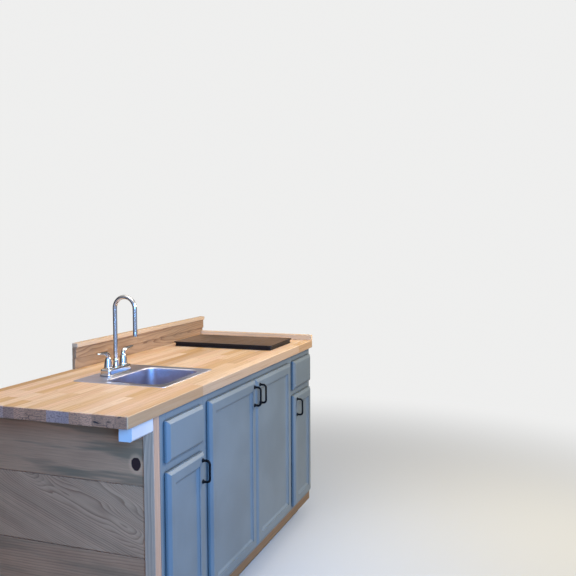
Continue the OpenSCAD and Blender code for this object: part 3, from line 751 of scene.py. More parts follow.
def end_grain_colour(shade, place, staves, grain):
    """Sawn ends: a grey tone for each stave, ring arcs, checks across them and dark blots."""
    sawn, deep = hue("end_grain"), hue("end_check")
    tone = shade.mix(shade.step(staves["Tone"], 0.0, 1.0), times(sawn, 1.20), times(sawn, 0.80))
    tone = shade.mix(shade.step(staves["Second"], 0.55, 0.75, 0.0, 0.45), tone, hue("end_grey"))
    ringed = shade.mix(shade.math("MULTIPLY", grain["Rings"], 0.55), tone, deep)
    speckle = shade.stretched(place, (60.0, 130.0, 210.0), 4.0, 0.7)
    rough = shade.mix(shade.step(speckle, 0.46, 0.68, 0.0, 0.75), ringed, deep)
    cells = shade.node(
        "ShaderNodeTexVoronoi", {"Vector": shade.scaled(place, (9.0, 24.0, 60.0)), "Scale": 1.0},
        feature="DISTANCE_TO_EDGE",
    )
    few = shade.step(shade.stretched(place, (5.0, 11.0, 22.0), 1.0), 0.53, 0.64)
    checks = shade.math("MULTIPLY", shade.step(cells.outputs["Distance"], 0.045, 0.012), few)
    checked = shade.mix(shade.math("MULTIPLY", checks, 0.85), rough, hue("end_crack"))
    blots = shade.stretched(place, (9.0, 26.0, 60.0), 1.0)
    return shade.mix(shade.step(blots, 0.63, 0.72, 0.0, 0.9), checked, hue("end_blot"))


def paint_material(name, tint, worn, amount=0.55, roughness=0.40):
    """Brushed satin paint over wood: soft unevenness, fine stipple, rubbed edges, and painted shade in its
    corners and gaps.
    """
    shade = open_material(name)
    place = shade.place()
    mottle = mottled(shade, place, 3.2, 850.0)
    rub = shade.group("Rubbed edges", {"Vector": place, "Reach": 0.0028, "Patch Scale": 20.0})["Rub"]
    dark = times(tint, 0.90)
    bright = tuple(min(1.0, c * 1.07) for c in tint)
    base = shade.mix(shade.step(mottle["Slow"], 0.34, 0.66), dark, bright)
    strokes = shade.stretched(place, (420.0, 420.0, 7.0), 2.0, 0.5)
    brushed = shade.mix(shade.step(strokes, 0.40, 0.62, 0.0, 0.16), base, dark)
    rubbed = shade.mix(shade.math("MULTIPLY", rub, amount), brushed, worn)
    # Painted shade: the paint darkens in corners, recesses and the gaps between the parts
    painted_shade = shade.group("Narrow corners", {"Reach": 0.018})["Dust"]
    final = shade.mix(shade.math("MULTIPLY", painted_shade, 0.85), rubbed, times(tint, 0.20))
    gloss = shade.math("MULTIPLY_ADD", mottle["Slow"], 0.16, roughness - 0.06)
    stipple = shade.math("MULTIPLY", mottle["Fine"], 0.5)
    height = shade.math("ADD", stipple, shade.math("MULTIPLY", strokes, 0.7))
    shade.surface(
        Base_Color=final, Roughness=gloss, Normal=shade.bump(height, 0.00012, 0.6), Specular_IOR_Level=0.5,
    )


def stainless_material():
    """Brushed sheet steel, with faint water marks and a painted highlight on its rim."""
    shade = open_material("stainless")
    place = shade.place()
    brushed = shade.stretched(place, (30.0, 2600.0, 900.0), 2.0, 0.6)
    mottle = mottled(shade, place, 16.0, 500.0)
    tint = hue("stainless")
    base = shade.mix(shade.step(mottle["Slow"], 0.45, 0.70), tint, times(tint, 0.84))
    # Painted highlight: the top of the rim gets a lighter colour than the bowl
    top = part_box("sink_bowl")[1].z
    on_rim = shade.step(shade.split(place)[2], top - 0.0060, top - 0.0030)
    base = shade.mix(on_rim, base, hue("sink_rim_highlight"))
    gloss = shade.math("MULTIPLY_ADD", mottle["Slow"], 0.14, shade.math("MULTIPLY_ADD", brushed, 0.10, 0.24))
    shade.surface(
        Base_Color=base, Metallic=1.0, Roughness=gloss, Normal=shade.bump(brushed, 0.00003, 0.5),
        Anisotropic=0.35,
    )


def metal_material(name, tint, roughness, bump):
    """Plated or cast metal with finger marks."""
    shade = open_material(name)
    mottle = mottled(shade, shade.place(), 34.0, 1400.0)
    base = shade.mix(shade.step(mottle["Slow"], 0.42, 0.72), tint, times(tint, 0.90))
    gloss = shade.step(mottle["Slow"], 0.40, 0.75, roughness, roughness + 0.08)
    shade.surface(
        Base_Color=base, Metallic=1.0, Roughness=gloss, Normal=shade.bump(mottle["Fine"], bump, 0.5),
    )


def black_metal_material():
    """Matt black coating with a fine grain, polished a little where it is held."""
    shade = open_material("black_metal")
    place = shade.place()
    mottle = mottled(shade, place, 40.0, 2600.0)
    rub = shade.group("Rubbed edges", {"Vector": place, "Reach": 0.0020, "Patch Scale": 60.0})["Rub"]
    tint = hue("black_metal")
    base = shade.mix(shade.math("MULTIPLY", rub, 0.4), tint, times(tint, 2.0))
    gloss = shade.math("MULTIPLY_ADD", mottle["Slow"], -0.16, 0.58)
    shade.surface(
        Base_Color=base, Roughness=gloss, Normal=shade.bump(mottle["Fine"], 0.00006, 0.7),
        Specular_IOR_Level=0.08,
    )


def hob_glass_material():
    """Dark glass ceramic with a soft gloss and smears from wiping."""
    shade = open_material("hob_glass")
    place = shade.place()
    smears = shade.stretched(place, (6.0, 22.0, 6.0), 4.0, 0.6)
    mottle = mottled(shade, place, 5.0, 1500.0)
    tint = hue("hob_glass")
    base = shade.mix(shade.step(mottle["Slow"], 0.35, 0.70), tint, times(tint, 0.70))
    upright = shade.step(shade.split(shade.facing())[2], 0.85, 0.60)
    base = shade.mix(upright, base, hue("hob_case"))
    gloss = shade.step(smears, 0.42, 0.70, 0.34, 0.48)
    shade.surface(
        Base_Color=base, Roughness=gloss, Normal=shade.bump(mottle["Fine"], 0.00002, 0.3),
        Specular_IOR_Level=0.35,
    )


def case_material(name, tint, roughness):
    """Moulded or sheet case with a fine pebbled finish and dust in its grain."""
    shade = open_material(name)
    place = shade.place()
    mottle = mottled(shade, place, 12.0, 1100.0)
    base = shade.mix(shade.step(mottle["Slow"], 0.40, 0.75), tint, tuple(c * 1.35 + 0.003 for c in tint))
    gloss = shade.math("MULTIPLY_ADD", mottle["Slow"], 0.18, roughness)
    shade.surface(
        Base_Color=base, Roughness=gloss, Normal=shade.bump(mottle["Fine"], 0.00010, 0.6),
        Specular_IOR_Level=0.22,
    )


def plain_board_materials():
    """Woods whose late wood is a darker tone of the early wood."""
    # Each has its colour, the late wood's share of it, the grain's axis, the piece it is for, its
    # heart's way beside and behind that piece's face, and its figure
    boards = {
        "grey_post": ("post", 0.55, "Z", "corner_post", 0.05, 0.09, dict(
            ring=0.0060, slope=0.015, warp=0.010, share=0.0, fibre=0.40)),
        "splash_cap_pine": ("cap_light", 0.66, "X", "splash_cap", -0.2, 0.2, dict(
            slot="splash_pine", seed=6.0, ring=0.0070, warp=0.020, share=0.02)),
        "warm_strip": ("strip_warm", 0.50, "X", "base_strip", 0.05, 0.08, dict(
            seed=7.0, ring=0.0060, slope=0.02, warp=0.020, share=0.03)),
        "pale_strip": ("strip_pale", 0.70, "Y", "end_strip", 0.06, 0.08, dict(
            seed=8.0, ring=0.0050, warp=0.010, share=0.0)),
        "cabinet_board": ("birch", 0.80, "Z", "cabinet_backs", 0.1, 0.3, dict(
            ring=0.016, slope=0.05, warp=0.030, share=0.0, roughness=0.55, fibre=0.20)),
    }
    for name, (light, late, axis, node, beside, behind, figure) in boards.items():
        heart = heart_of(node, axis, beside, behind)
        wood_material(name, hue(light), times(hue(light), late), axis, heart, **figure)


def end_board_materials():
    """The end panel's boards, each with grain of its own; the top one has a dark knot beside the post."""
    low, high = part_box("end_board_1")
    top_knot = (low.y + KNOT_FROM_POST, high.z - KNOT_BELOW_TOP, (low.x + high.x) / 2)
    light, dark = hue("pine_light"), hue("pine_dark")
    boards = {
        1: dict(light=light, seed=2.0, ring=0.0110, beside=-0.30, behind=0.10, warp=0.020, contrast=0.22,
                stain=0.85, fibre=0.30, knots=((top_knot, (0.0175, 0.0215, 1.0)),)),
        2: dict(light=hue("pine_warm"), seed=3.0, ring=0.0070, beside=0.060, behind=0.034, slope=0.10,
                warp=0.060, contrast=1.0, stain=0.15, lean=-0.40, fibre=0.25),
        3: dict(light=light, seed=4.0, ring=0.0085, beside=0.16, behind=0.05, slope=0.03, warp=0.030,
                contrast=0.8, stain=0.45, share=0.10),
        4: dict(light=light, seed=5.0, ring=0.0100, beside=-0.05, behind=0.05, slope=-0.08, warp=0.030,
                contrast=0.9, stain=0.35, share=0.08),
    }
    for n, given in boards.items():
        board = {"share": 0.0, "fibre": 0.35, **given}
        heart = heart_of("end_board_%d" % n, "Y", board.pop("beside"), board.pop("behind"))
        wood_material(
            "pine_board_%d" % n, board.pop("light"), dark, "Y", heart, slot="pine_board",
            roughness=0.58, **board,
        )


class KITCHEN_OT_finishes(bpy.types.Operator):
    """Makes the shader groups and every finish of the run"""

    bl_idname = "kitchen.finishes"
    bl_label = "Finishes"

    def execute(self, context):
        for build in (group_grain, group_knot, group_staves, group_rub, group_corners, group_mottle):
            build()
        butcher_block_material()
        paint_material("cabinet_paint", hue("paint"), hue("paint_worn"))
        paint_material("white_paint", hue("white_paint"), hue("white_worn"), amount=0.25)
        end_board_materials()
        plain_board_materials()
        wood_material(
            "splash_pine", hue("splash_light"), hue("splash_dark"), "X",
            heart_of("splash_upper", "X", -0.03, 0.03),
            seed=5.0, ring=0.0090, slope=0.04, warp=0.032, share=0.05, contrast=0.95,
        )
        # Painted shade: the toe board is near-black for the shadow of the toe-kick recess
        case_material("toe_black", hue("toe"), 0.55)
        stainless_material()
        metal_material("runner_steel", hue("zinc"), 0.30, 0.00005)
        metal_material("chrome", hue("chrome"), 0.12, 0.000008)
        black_metal_material()
        case_material("hob_case", hue("hob_case"), 0.32)
        hob_glass_material()
        return {"FINISHED"}


# Pieces


class KITCHEN_OT_worktop(bpy.types.Operator):
    """Builds the butcher-block worktop with its cut-out for the sink"""

    bl_idname = "kitchen.worktop"
    bl_label = "Worktop"

    def execute(self, context):
        size = sizes()
        low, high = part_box("worktop")
        bowl_low, bowl_high = bowl_outline(size)
        gap = Vector((size.cutout_gap, size.cutout_gap))
        cut = bowl_low - gap, bowl_high + gap
        corner, ease = size.top_corner, size.top_ease
        # From the cut-out's lower edge out and up round the slab, and back to its upper edge
        lower = set_in(low, high, corner, 0.0005, low.z, arc((ease, ease), ease, -90, -180, 3))
        upper = set_in(low, high, corner, 0.0005, high.z, arc((ease, -ease), ease, 180, 90, 3))
        rings = [(*cut, size.bowl_corner, low.z), *lower, *upper, (*cut, size.bowl_corner, high.z)]
        bm = bmesh.new()
        skin_rings(bm, rings, 6, closed=True)
        add_piece("butcher_block_top", bm, "butcher_block", "root", "worktop")
        return {"FINISHED"}


def bowl_outline(size):
    """The bowl's inside corners, seen from above."""
    low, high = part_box("sink_bowl")
    return (
        Vector((low.x + size.bowl_rim, low.y + size.bowl_rim)),
        Vector((high.x - size.bowl_rim, high.y - size.bowl_ledge)),
    )


class KITCHEN_OT_sink(bpy.types.Operator):
    """Builds the pressed steel sink and its drain with a strainer"""

    bl_idname = "kitchen.sink"
    bl_label = "Sink"

    def execute(self, context):
        size = sizes()
        low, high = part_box("sink_bowl")
        drain_low, drain_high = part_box("sink_drain")
        bowl_low, bowl_high = bowl_outline(size)
        middle = (bowl_low + bowl_high) / 2
        rim, sheet, fillet = high.z, size.sheet, size.bowl_fillet
        floor = low.z + sheet
        seat = rim - sheet
        # The drain's flange laps over the bowl's floor, and the rim rolls over into the bowl
        lap, roll = 0.006, 0.006
        hole = (drain_high.x - drain_low.x) / 2 - lap

        def around_bowl(foot, outline):
            return set_in(bowl_low, bowl_high, size.bowl_corner, 0.004, foot, outline)

        def around_rim(foot, outline):
            return set_in(low, high, size.rim_corner, 0.002, foot, outline)

        def around_hole(radius, level):
            step = Vector((radius, radius))
            return middle - step, middle + step, radius - HAIR, level

        under = [(inset - sheet, rise) for inset, rise in arc((fillet, fillet), fillet, -90, -180, 5)]
        lip = [(inset - roll, rise - 0.0006) for inset, rise in arc((0.0, -roll), roll, 90, 0, 4)]
        inside = [
            (inset + size.bowl_draft, rise) for inset, rise in arc((fillet, fillet), fillet, 180, 270, 6)
        ]
        # Up the bowl's outside, round the rim's edge and down the bowl's inside
        rings = [
            around_hole(hole, low.z),
            *around_bowl(low.z, under),
            *around_bowl(seat, [(-sheet, -roll)]),
            *around_rim(seat, [(0.010, 0.0), (0.0, 0.0), (0.0, 0.0008)]),
            *around_rim(rim, [(0.0010, 0.0), (0.0050, 0.0), (0.0085, -0.0011)]),
            *around_bowl(rim, [(-0.010, -0.0011), (-roll, -0.0006), *lip]),
            *around_bowl(floor, inside),
            around_hole(hole + lap, floor),
            around_hole(hole, floor - 0.0008),
        ]
        bm = bmesh.new()
        skin_rings(bm, rings, 10, closed=True)
        add_piece("pressed_sink", bm, "stainless", "root", "sink_bowl", sharp=50)
        self.drain(middle, hole, floor, drain_low.z)
        return {"FINISHED"}

    def drain(self, middle, hole, floor, foot):
        """The flange in the bowl's floor, the cup below it and the strainer."""
        steps = look().segments
        centre = (middle.x, middle.y, floor)
        lip, rib_width = hole - 0.001, 0.0025
        drop = foot - floor
        bm = bmesh.new()
        outer = [(lip - 0.010, drop), (lip - 0.002, drop), (lip, drop + 0.003), (lip, -0.003)]
        flange = [
            (lip + 0.0045, -0.0005), (lip + 0.005, 0.0002), (lip + 0.003, 0.0007), (lip - 0.001, 0.0004),
        ]
        inner = [
            (lip - 0.004, -0.003), (lip - 0.006, -0.014), (lip - 0.012, -0.020), (lip - 0.016, drop + 0.006),
        ]
        lathe(bm, outer + flange + inner + [(lip - 0.017, drop)], centre, steps)
        strainer = [
            (0.0, -0.0205), (lip - 0.013, -0.0205), (lip - 0.0125, -0.0165), (lip - 0.015, -0.0168),
            (0.010, -0.0180), (0.006, -0.016), (0.0045, -0.009), (0.008, -0.005), (0.007, -0.002),
            (0.0, -0.001),
        ]
        lathe(bm, strainer, centre, steps)
        for angle in full_turn(STRAINER_RIBS):
            turn = Matrix.Rotation(angle, 3, "Z")
            rib = [Vector(centre) + turn @ Vector((r, 0.0, -0.0166)) for r in (0.010, lip - 0.014)]
            sweep(bm, rib, [(rib_width / 2, rib_width / 2)] * 2, (0.0, 0.0, 1.0), steps=8)
        add_piece("sink_drain_and_strainer", bm, "stainless", "root", "sink_drain", sharp=40)


class KITCHEN_OT_tap(bpy.types.Operator):
    """Builds the tap: base, swivelling spout and two levers"""

    bl_idname = "kitchen.tap"
    bl_label = "Tap"

    def execute(self, context):
        self.base()
        self.spout()
        self.lever("tap_lever_left", -1)
        self.lever("tap_lever_right", 1)
        return {"FINISHED"}

    def base(self):
        """The plate under the spout and the levers, with a rounded crown."""
        low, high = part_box("tap_base")
        height = high.z - low.z
        sides = [
            (inset, share * height)
            for inset, share in ((0.0, 0.0), (0.0, 0.16), (0.0015, 0.22), (0.0022, 0.72))
        ]
        crown = [(inset + 0.0029, rise) for inset, rise in arc((0.0062, -0.0070), 0.0070, 170, 90, 5)]
        corner = 0.0120
        rings = set_in(low, high, corner, corner / 2, low.z, sides)
        rings += set_in(low, high, corner, corner / 2, high.z, crown)
        bm = bmesh.new()
        skin_rings(bm, rings, 6)
        add_piece("tap_base_plate", bm, "chrome", "root", "tap_base", sharp=40)

    def spout(self):
        """The tube with its arch, the collar at its foot and the nozzle at its tip."""
        size = sizes()
        low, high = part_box("tap_spout")
        steps = look().segments
        tube = size.spout_tube / 2
        collar = (high.x - low.x) / 2
        centre = Vector(((low.x + high.x) / 2, high.y - collar, low.z))
        arch_top = high.z - tube - size.spout_arch
        tip = arch_top - size.spout_leg
        bm = bmesh.new()
        # The tube starts inside its collar and ends inside the nozzle
        rise = [(centre.y, low.z + 0.004), (centre.y, arch_top - 0.03)]
        bend = arc((centre.y - size.spout_arch, arch_top), size.spout_arch, 0, 180, 24)
        drop = [(centre.y - 2 * size.spout_arch, tip + 0.016)]
        path = [Vector((centre.x, y, z)) for y, z in rise + bend + drop]
        sweep(bm, path, [(tube, tube)] * len(path), (1.0, 0.0, 0.0), steps=24)
        foot = [
            (collar - 0.001, 0.0), (collar, 0.001), (collar, 0.0055), (collar - 0.0015, 0.0075),
            (collar - 0.0022, 0.0200), (collar - 0.0010, 0.0215), (collar - 0.0010, 0.0265),
            (collar - 0.0028, 0.0295), (tube + 0.0002, 0.0300), (tube, 0.0310),
        ]
        lathe(bm, foot, centre, steps)
        nozzle = [
            (tube * 0.62, 0.0030), (tube * 0.66, 0.0), (tube * 0.98, 0.0), (tube * 1.04, 0.0010),
            (tube * 1.04, 0.0130), (tube * 0.99, 0.0150), (tube * 0.99, 0.0175),
        ]
        lathe(bm, nozzle, (centre.x, centre.y - 2 * size.spout_arch, tip), steps)
        add_piece("gooseneck_spout", bm, "chrome", "tap_spout", "tap_spout", sharp=40)

    def lever(self, node, side):
        """A bell-shaped column whose neck bends over into a flat lever with a round tip."""
        size = sizes()
        low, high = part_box(node)
        foot = (high.y - low.y) / 2
        centre_x = low.x + foot if side > 0 else high.x - foot
        centre = Vector((centre_x, (low.y + high.y) / 2, low.z))
        neck, bend = size.lever_neck / 2, size.lever_bend
        top = high.z - low.z - neck
        straight = top - bend
        bell = [
            (foot - 0.0012, 0.0), (foot, 0.0010), (foot, 0.0030), (foot - 0.0012, 0.0040),
            (foot - 0.0017, 0.0050), (foot - 0.0020, 0.0090), (foot - 0.0025, 0.0150),
            (foot - 0.0032, 0.0210), (foot - 0.0042, 0.0270), (foot - 0.0056, 0.0330),
            (neck + 0.0010, 0.0385), (neck, straight), (0.0, straight + 0.0010),
        ]
        bm = bmesh.new()
        lathe(bm, bell, centre, look().segments)
        reach = high.x - centre_x if side > 0 else centre_x - low.x
        path = [(0.0, straight - 0.0030)] + arc((bend, straight), bend, 180, 92, 8)
        radii = [(neck, neck)] * 6 + [(neck, neck * 0.96), (neck, neck * 0.90), (neck + 0.0002, neck * 0.84)]
        radii.append((neck + 0.0004, neck * 0.78))
        # The lever narrows and rises a little, and ends in a round nose
        nose = 0.0056
        tip = reach - nose
        for t in shares(8):
            path.append((bend + (tip - bend) * t, top + 0.0050 * t))
            radii.append((neck + 0.0004 - 0.0030 * t * t, neck * (0.78 - 0.36 * t)))
        blade = radii[-1]
        for out, share in ((0.0024, 0.90), (0.0042, 0.66), (0.0053, 0.34), (nose, 0.06)):
            path.append((tip + out, top + 0.0052))
            radii.append((blade[0] * share, blade[1] * share))
        points = [centre + Vector((side * out, 0.0, lift)) for out, lift in path]
        sweep(bm, points, radii, (0.0, 1.0, 0.0), steps=24)
        add_piece(node + "_handle", bm, "chrome", node, node, sharp=40)


class KITCHEN_OT_hob(bpy.types.Operator):
    """Builds the hob: its case and the glass plate on it"""

    bl_idname = "kitchen.hob"
    bl_label = "Hob"

    def execute(self, context):
        # The case stands on a flange, and draws in below the plate
        flange = [(0.001, 0.0), (0.0, 0.001), (0.0, 0.0045), (0.0022, 0.0055), (0.0022, 0.0135)]
        self.slab("hob_case_body", "hob_body", "hob_case", flange, [(0.0, -0.0025), (0.0, 0.0)], 4)
        ground = 0.0016
        foot = [(ground, 0.0), *arc((ground, ground), ground, 200, 180, 2)]
        edge = arc((ground, -ground), ground, 180, 90, 3)
        self.slab("hob_glass_plate", "hob_plate", "hob_glass", foot, edge, 5)
        return {"FINISHED"}

    def slab(self, name, node, material, lower, upper, steps):
        """A slab between its lower outline, from its foot, and its upper one, from its top."""
        low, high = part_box(node)
        corner = 0.006
        rings = set_in(low, high, corner, corner / 2, low.z, lower)
        rings += set_in(low, high, corner, corner / 2, high.z, upper)
        bm = bmesh.new()
        skin_rings(bm, rings, steps)
        add_piece(name, bm, material, "root", node)


class KITCHEN_OT_face_frames(bpy.types.Operator):
    """Builds the face frames from stiles and rails with eased edges"""

    bl_idname = "kitchen.face_frames"
    bl_label = "Face frames"

    def execute(self, context):
        for node, door in (("left_face_frame", "left_door"), ("right_face_frame", "right_door")):
            self.frame(node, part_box(door)[1].z - sizes().overlay)
        self.frame("sink_face_frame", None)
        return {"FINISHED"}

    def frame(self, node, mid_rail_foot):
        """One frame; mid_rail_foot is the height of the rail's lower edge, or None."""
        size = sizes()
        low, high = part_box(node)
        bm = bmesh.new()
        stile = Vector((size.stile, 0.0, 0.0))
        soft_box(bm, low, (low.x + stile.x, high.y, high.z), size.ease)
        soft_box(bm, (high.x - stile.x, low.y, low.z), high, size.ease)
        inner_low, inner_high = low + stile, high - stile
        rails = [(low.z, low.z + size.bottom_rail), (high.z - size.top_rail, high.z)]
        if mid_rail_foot:
            rails.append((mid_rail_foot, mid_rail_foot + size.mid_rail))
        for foot, top in rails:
            soft_box(bm, (inner_low.x, low.y, foot), (inner_high.x, high.y, top), size.ease * 0.5)
        add_piece(node + "_joinery", bm, "cabinet_paint", "root", node)


class KITCHEN_OT_fronts(bpy.types.Operator):
    """Builds the doors with their sunk panels, and the bevelled drawer fronts"""

    bl_idname = "kitchen.fronts"
    bl_label = "Doors and drawer fronts"

    def execute(self, context):
        for node in DOORS:
            self.leaf(node, node, True)
        self.leaf("left_fixed_front", "root", False)
        self.leaf("right_drawer_front", "right_drawer", False)
        return {"FINISHED"}

    def leaf(self, node, body, panelled):
        """A leaf whose rings step in from its back, round its edge and, on a door, down to the panel."""
        size = sizes()
        low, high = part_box(node)
        thick = high.y - low.y
        shoulder = thick - size.bevel_depth
        profile = [
            (0.0008, 0.0), (0.0, 0.0008),
            (0.0, shoulder - 0.0010), (0.0004, shoulder + 0.0001), (0.0012, shoulder + 0.0007),
            (size.bevel_width - 0.0012, thick - 0.0006), (size.bevel_width + 0.0002, thick - 0.0001),
            (size.bevel_width + 0.0016, thick),
        ]
        if panelled:
            edge, well, quirk = size.door_frame, size.back_recess, size.quirk
            recess = [(edge + 0.004, well), (edge, well), (edge - 0.0006, 0.0006), (edge - 0.0014, 0.0)]
            profile = recess + profile + [
                (edge - 0.0008, thick), (edge, thick - 0.0006),
                (edge + 0.0003, thick - quirk), (edge + 0.0016, thick - quirk),
            ]
            # The moulding runs down to the panel in a soft S
            for t in shares(6):
                sink = quirk + (size.panel_depth - quirk) * (0.35 * t + 0.65 * t * t * (3 - 2 * t))
                profile.append((edge + 0.0016 + (size.moulding - 0.0016) * t, thick - sink))
            profile.append((edge + size.moulding + 0.0010, thick - size.panel_depth))
        corner = 0.0002
        rings = [((low.x + i, low.z + i), (high.x - i, high.z - i), corner, level) for i, level in profile]
        bm = bmesh.new()
        skin_rings(bm, rings, 1, place=lambda u, v, level: (u, high.y - level, v))
        add_piece(node + "_leaf", bm, "cabinet_paint", body, node, sharp=30)


class KITCHEN_OT_pulls(bpy.types.Operator):
    """Builds the bow pulls with their flared feet"""

    bl_idname = "kitchen.pulls"
    bl_label = "Pulls"

    def execute(self, context):
        for door, (pull, _) in DOORS.items():
            self.pull(pull, door)
        return {"FINISHED"}

    def pull(self, node, door):
        """A bar from one foot out, down and back to the other, thinnest at its middle."""
        size = sizes()
        low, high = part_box(node)
        bar, foot = size.pull_bar / 2, size.pull_foot / 2
        centre = (low + high) / 2
        half = (high.z - low.z) / 2 - foot
        out = low.y + bar
        bend = size.pull_bend
        path = [(high.y - 0.001, half), (out + bend, half)]
        path += [(out + bend - bend * math.sin(a), half - bend + bend * math.cos(a))
                 for a in (math.radians(10 * k) for k in range(1, 10))]
        path += [(out, half * share) for share in (0.5, 0.25, 0.0)]
        path += [(y, -z) for y, z in reversed(path[:-1])]
        points = [Vector((centre.x, y, centre.z + z)) for y, z in path]
        radii = []
        for y, z in path:
            swell = 1.0 - 0.10 * math.cos(math.pi * min(abs(z) / half, 1.0) / 2)
            radii.append((bar * swell, bar * swell))
        bm = bmesh.new()
        sweep(bm, points, radii, (1.0, 0.0, 0.0), steps=20)
        flare = [(foot - 0.0006, 0.0), (foot, 0.0006), (foot - 0.0002, 0.0014), (foot - 0.0018, 0.0024),
                 (bar + 0.0016, 0.0038), (bar + 0.0004, 0.0058), (bar - 0.0002, 0.0072)]
        tip = Matrix.Rotation(math.radians(90), 3, "X")
        for s in (-1, 1):
            lathe(bm, flare, (centre.x, high.y, centre.z + s * half), look().segments, turn=tip)
        add_piece(node + "_bow", bm, "black_metal", door, node, sharp=40)


class KITCHEN_OT_hinges(bpy.types.Operator):
    """Builds the concealed hinges: cups in the doors' backs and plates on the face frames"""

    bl_idname = "kitchen.hinges"
    bl_label = "Hinges"

    def execute(self, context):
        for door, (_, side) in DOORS.items():
            self.hang(door, side)
        return {"FINISHED"}

    def hang(self, door, side):
        """side is -1 where the door hangs at its left edge and 1 at its right edge."""
        size = sizes()
        low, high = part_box(door)
        edge = low.x if side < 0 else high.x
        inward = -side
        cup = size.cup / 2
        cup_x = edge + inward * (size.cup_edge + cup)
        opening_x = edge + inward * size.overlay
        back = high.y
        tip = Matrix.Rotation(math.radians(-90), 3, "X")
        cups, plates = bmesh.new(), bmesh.new()
        for z in (low.z + size.hinge_place, high.z - size.hinge_place):
            flange = [
                (cup * 0.86, -0.0060), (cup * 0.87, 0.0), (cup, 0.0), (cup, 0.0003), (cup * 0.84, 0.0004),
            ]
            bowl = [(cup * 0.80, -0.0030), (cup * 0.76, -0.0058), (0.0, -0.0060)]
            lathe(cups, flange + bowl, (cup_x, back, z), 32, turn=tip)
            # Two ears for the screws, above and below the cup
            for rise in (-0.020, 0.020):
                ear_low = (cup_x - 0.0045, back - 0.0010, z + rise - 0.0060)
                ear_high = (cup_x + 0.0045, back + 0.0004, z + rise + 0.0060)
                soft_box(cups, ear_low, ear_high, 0.0002, steps=1)
            # The plate on the frame's edge, and the arm's foot that stands on it
            for reach, front, behind, half, ease in (
                (0.0026, 0.0040, 0.0170, 0.0220, 0.0004), (0.0110, 0.0030, 0.0150, 0.0075, 0.0008),
            ):
                near, far = sorted((opening_x + inward * 0.0002, opening_x + inward * reach))
                soft_box(plates, (near, back + front, z - half), (far, back + behind, z + half), ease)
        add_piece(door + "_hinge_cups", cups, "runner_steel", door)
        add_piece(door + "_hinge_plates", plates, "runner_steel", "root")


class KITCHEN_OT_insides(bpy.types.Operator):
    """Builds the drawer box, and finishes the cabinets' sides, floors, backs and runners"""

    bl_idname = "kitchen.insides"
    bl_label = "Cabinet insides"

    def execute(self, context):
        for node in ("left_cabinet_sides", "sink_cabinet_sides", "right_cabinet_sides"):
            dress_node(node, "cabinet_paint")
        for node in ("cabinet_floors", "cabinet_backs"):
            dress_node(node, "cabinet_board")
        dress_node("right_drawer_runners", "runner_steel")
        self.drawer_box()
        return {"FINISHED"}

    def drawer_box(self):
        """Two sides, a front and a back between them, and the floor."""
        size = sizes()
        low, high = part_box("right_drawer_box")
        wall, ease = size.drawer_wall, size.ease
        bm = bmesh.new()
        soft_box(bm, low, (low.x + wall, high.y, high.z), ease)
        soft_box(bm, (high.x - wall, low.y, low.z), high, ease)
        for near in (low.y, high.y - wall):
            soft_box(bm, (low.x + wall, near, low.z), (high.x - wall, near + wall, high.z), ease)
        floor_low = (low.x + wall, low.y + wall, low.z + 0.0002)
        soft_box(bm, floor_low, (high.x - wall, high.y - wall, low.z + size.drawer_floor), 0.0004)
        add_piece("drawer_box_joinery", bm, "cabinet_board", "right_drawer", "right_drawer_box")


class KITCHEN_OT_end_panel(bpy.types.Operator):
    """Builds the end panel's boards, the corner post and the block under the overhang"""

    bl_idname = "kitchen.end_panel"
    bl_label = "End panel"

    def execute(self, context):
        size = sizes()
        for n in range(1, END_BOARDS + 1):
            node = "end_board_%d" % n
            low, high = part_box(node)
            bm = bmesh.new()
            gap = Vector((0.0, 0.0, size.board_gap))
            foot = gap if n < END_BOARDS else Vector()
            soft_box(bm, low + foot, high - gap, size.board_ease, steps=3)
            # A thin tongue fills the joint above the board, behind the eased edges
            tongue_low = (low.x + 0.006, low.y, high.z - 0.004)
            tongue_high = (high.x - 0.006, high.y, high.z - 0.0001 if n == 1 else high.z + 0.0035)
            soft_box(bm, tongue_low, tongue_high, 0.0005, steps=1)
            add_piece(node + "_planed", bm, "pine_board_%d" % n, "root", node)
        box_piece("square_post", "corner_post", "grey_post", size.board_ease)
        self.block()
        return {"FINISHED"}

    def block(self):
        """The painted block, with the bevel along its lower front edge."""
        low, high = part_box("overhang_block")
        bevel, ease = sizes().block_bevel, 0.0010
        outline = [
            (low.y, low.z + bevel), (low.y + bevel, low.z),
            (high.y, low.z), (high.y, high.z), (low.y, high.z),
        ]
        bm = bmesh.new()
        skin(bm, [[bm.verts.new((x, y, z)) for y, z in outline] for x in (low.x, high.x)])
        bmesh.ops.recalc_face_normals(bm, faces=bm.faces[:])
        bmesh.ops.bevel(bm, geom=bm.edges[:], offset=ease, segments=2, profile=0.5, affect="EDGES")
        add_piece("overhang_cleat", bm, "white_paint", "root", "overhang_block")


class KITCHEN_OT_trim(bpy.types.Operator):
    """Builds the splash boards, their cap and the strips at the end and the base"""

    bl_idname = "kitchen.trim"
    bl_label = "Splash boards and strips"

    def execute(self, context):
        ease = sizes().board_ease
        pieces = {
            "splash_lower": ("splash_pine", ease * 0.5), "splash_upper": ("splash_pine", ease),
            "splash_cap": ("splash_cap_pine", ease), "end_strip": ("pale_strip", ease),
            "base_strip": ("warm_strip", ease * 0.6), "toe_board": ("toe_black", ease * 0.4),
        }
        for node, (material, radius) in pieces.items():
            box_piece(node + "_planed", node, material, radius)
        return {"FINISHED"}


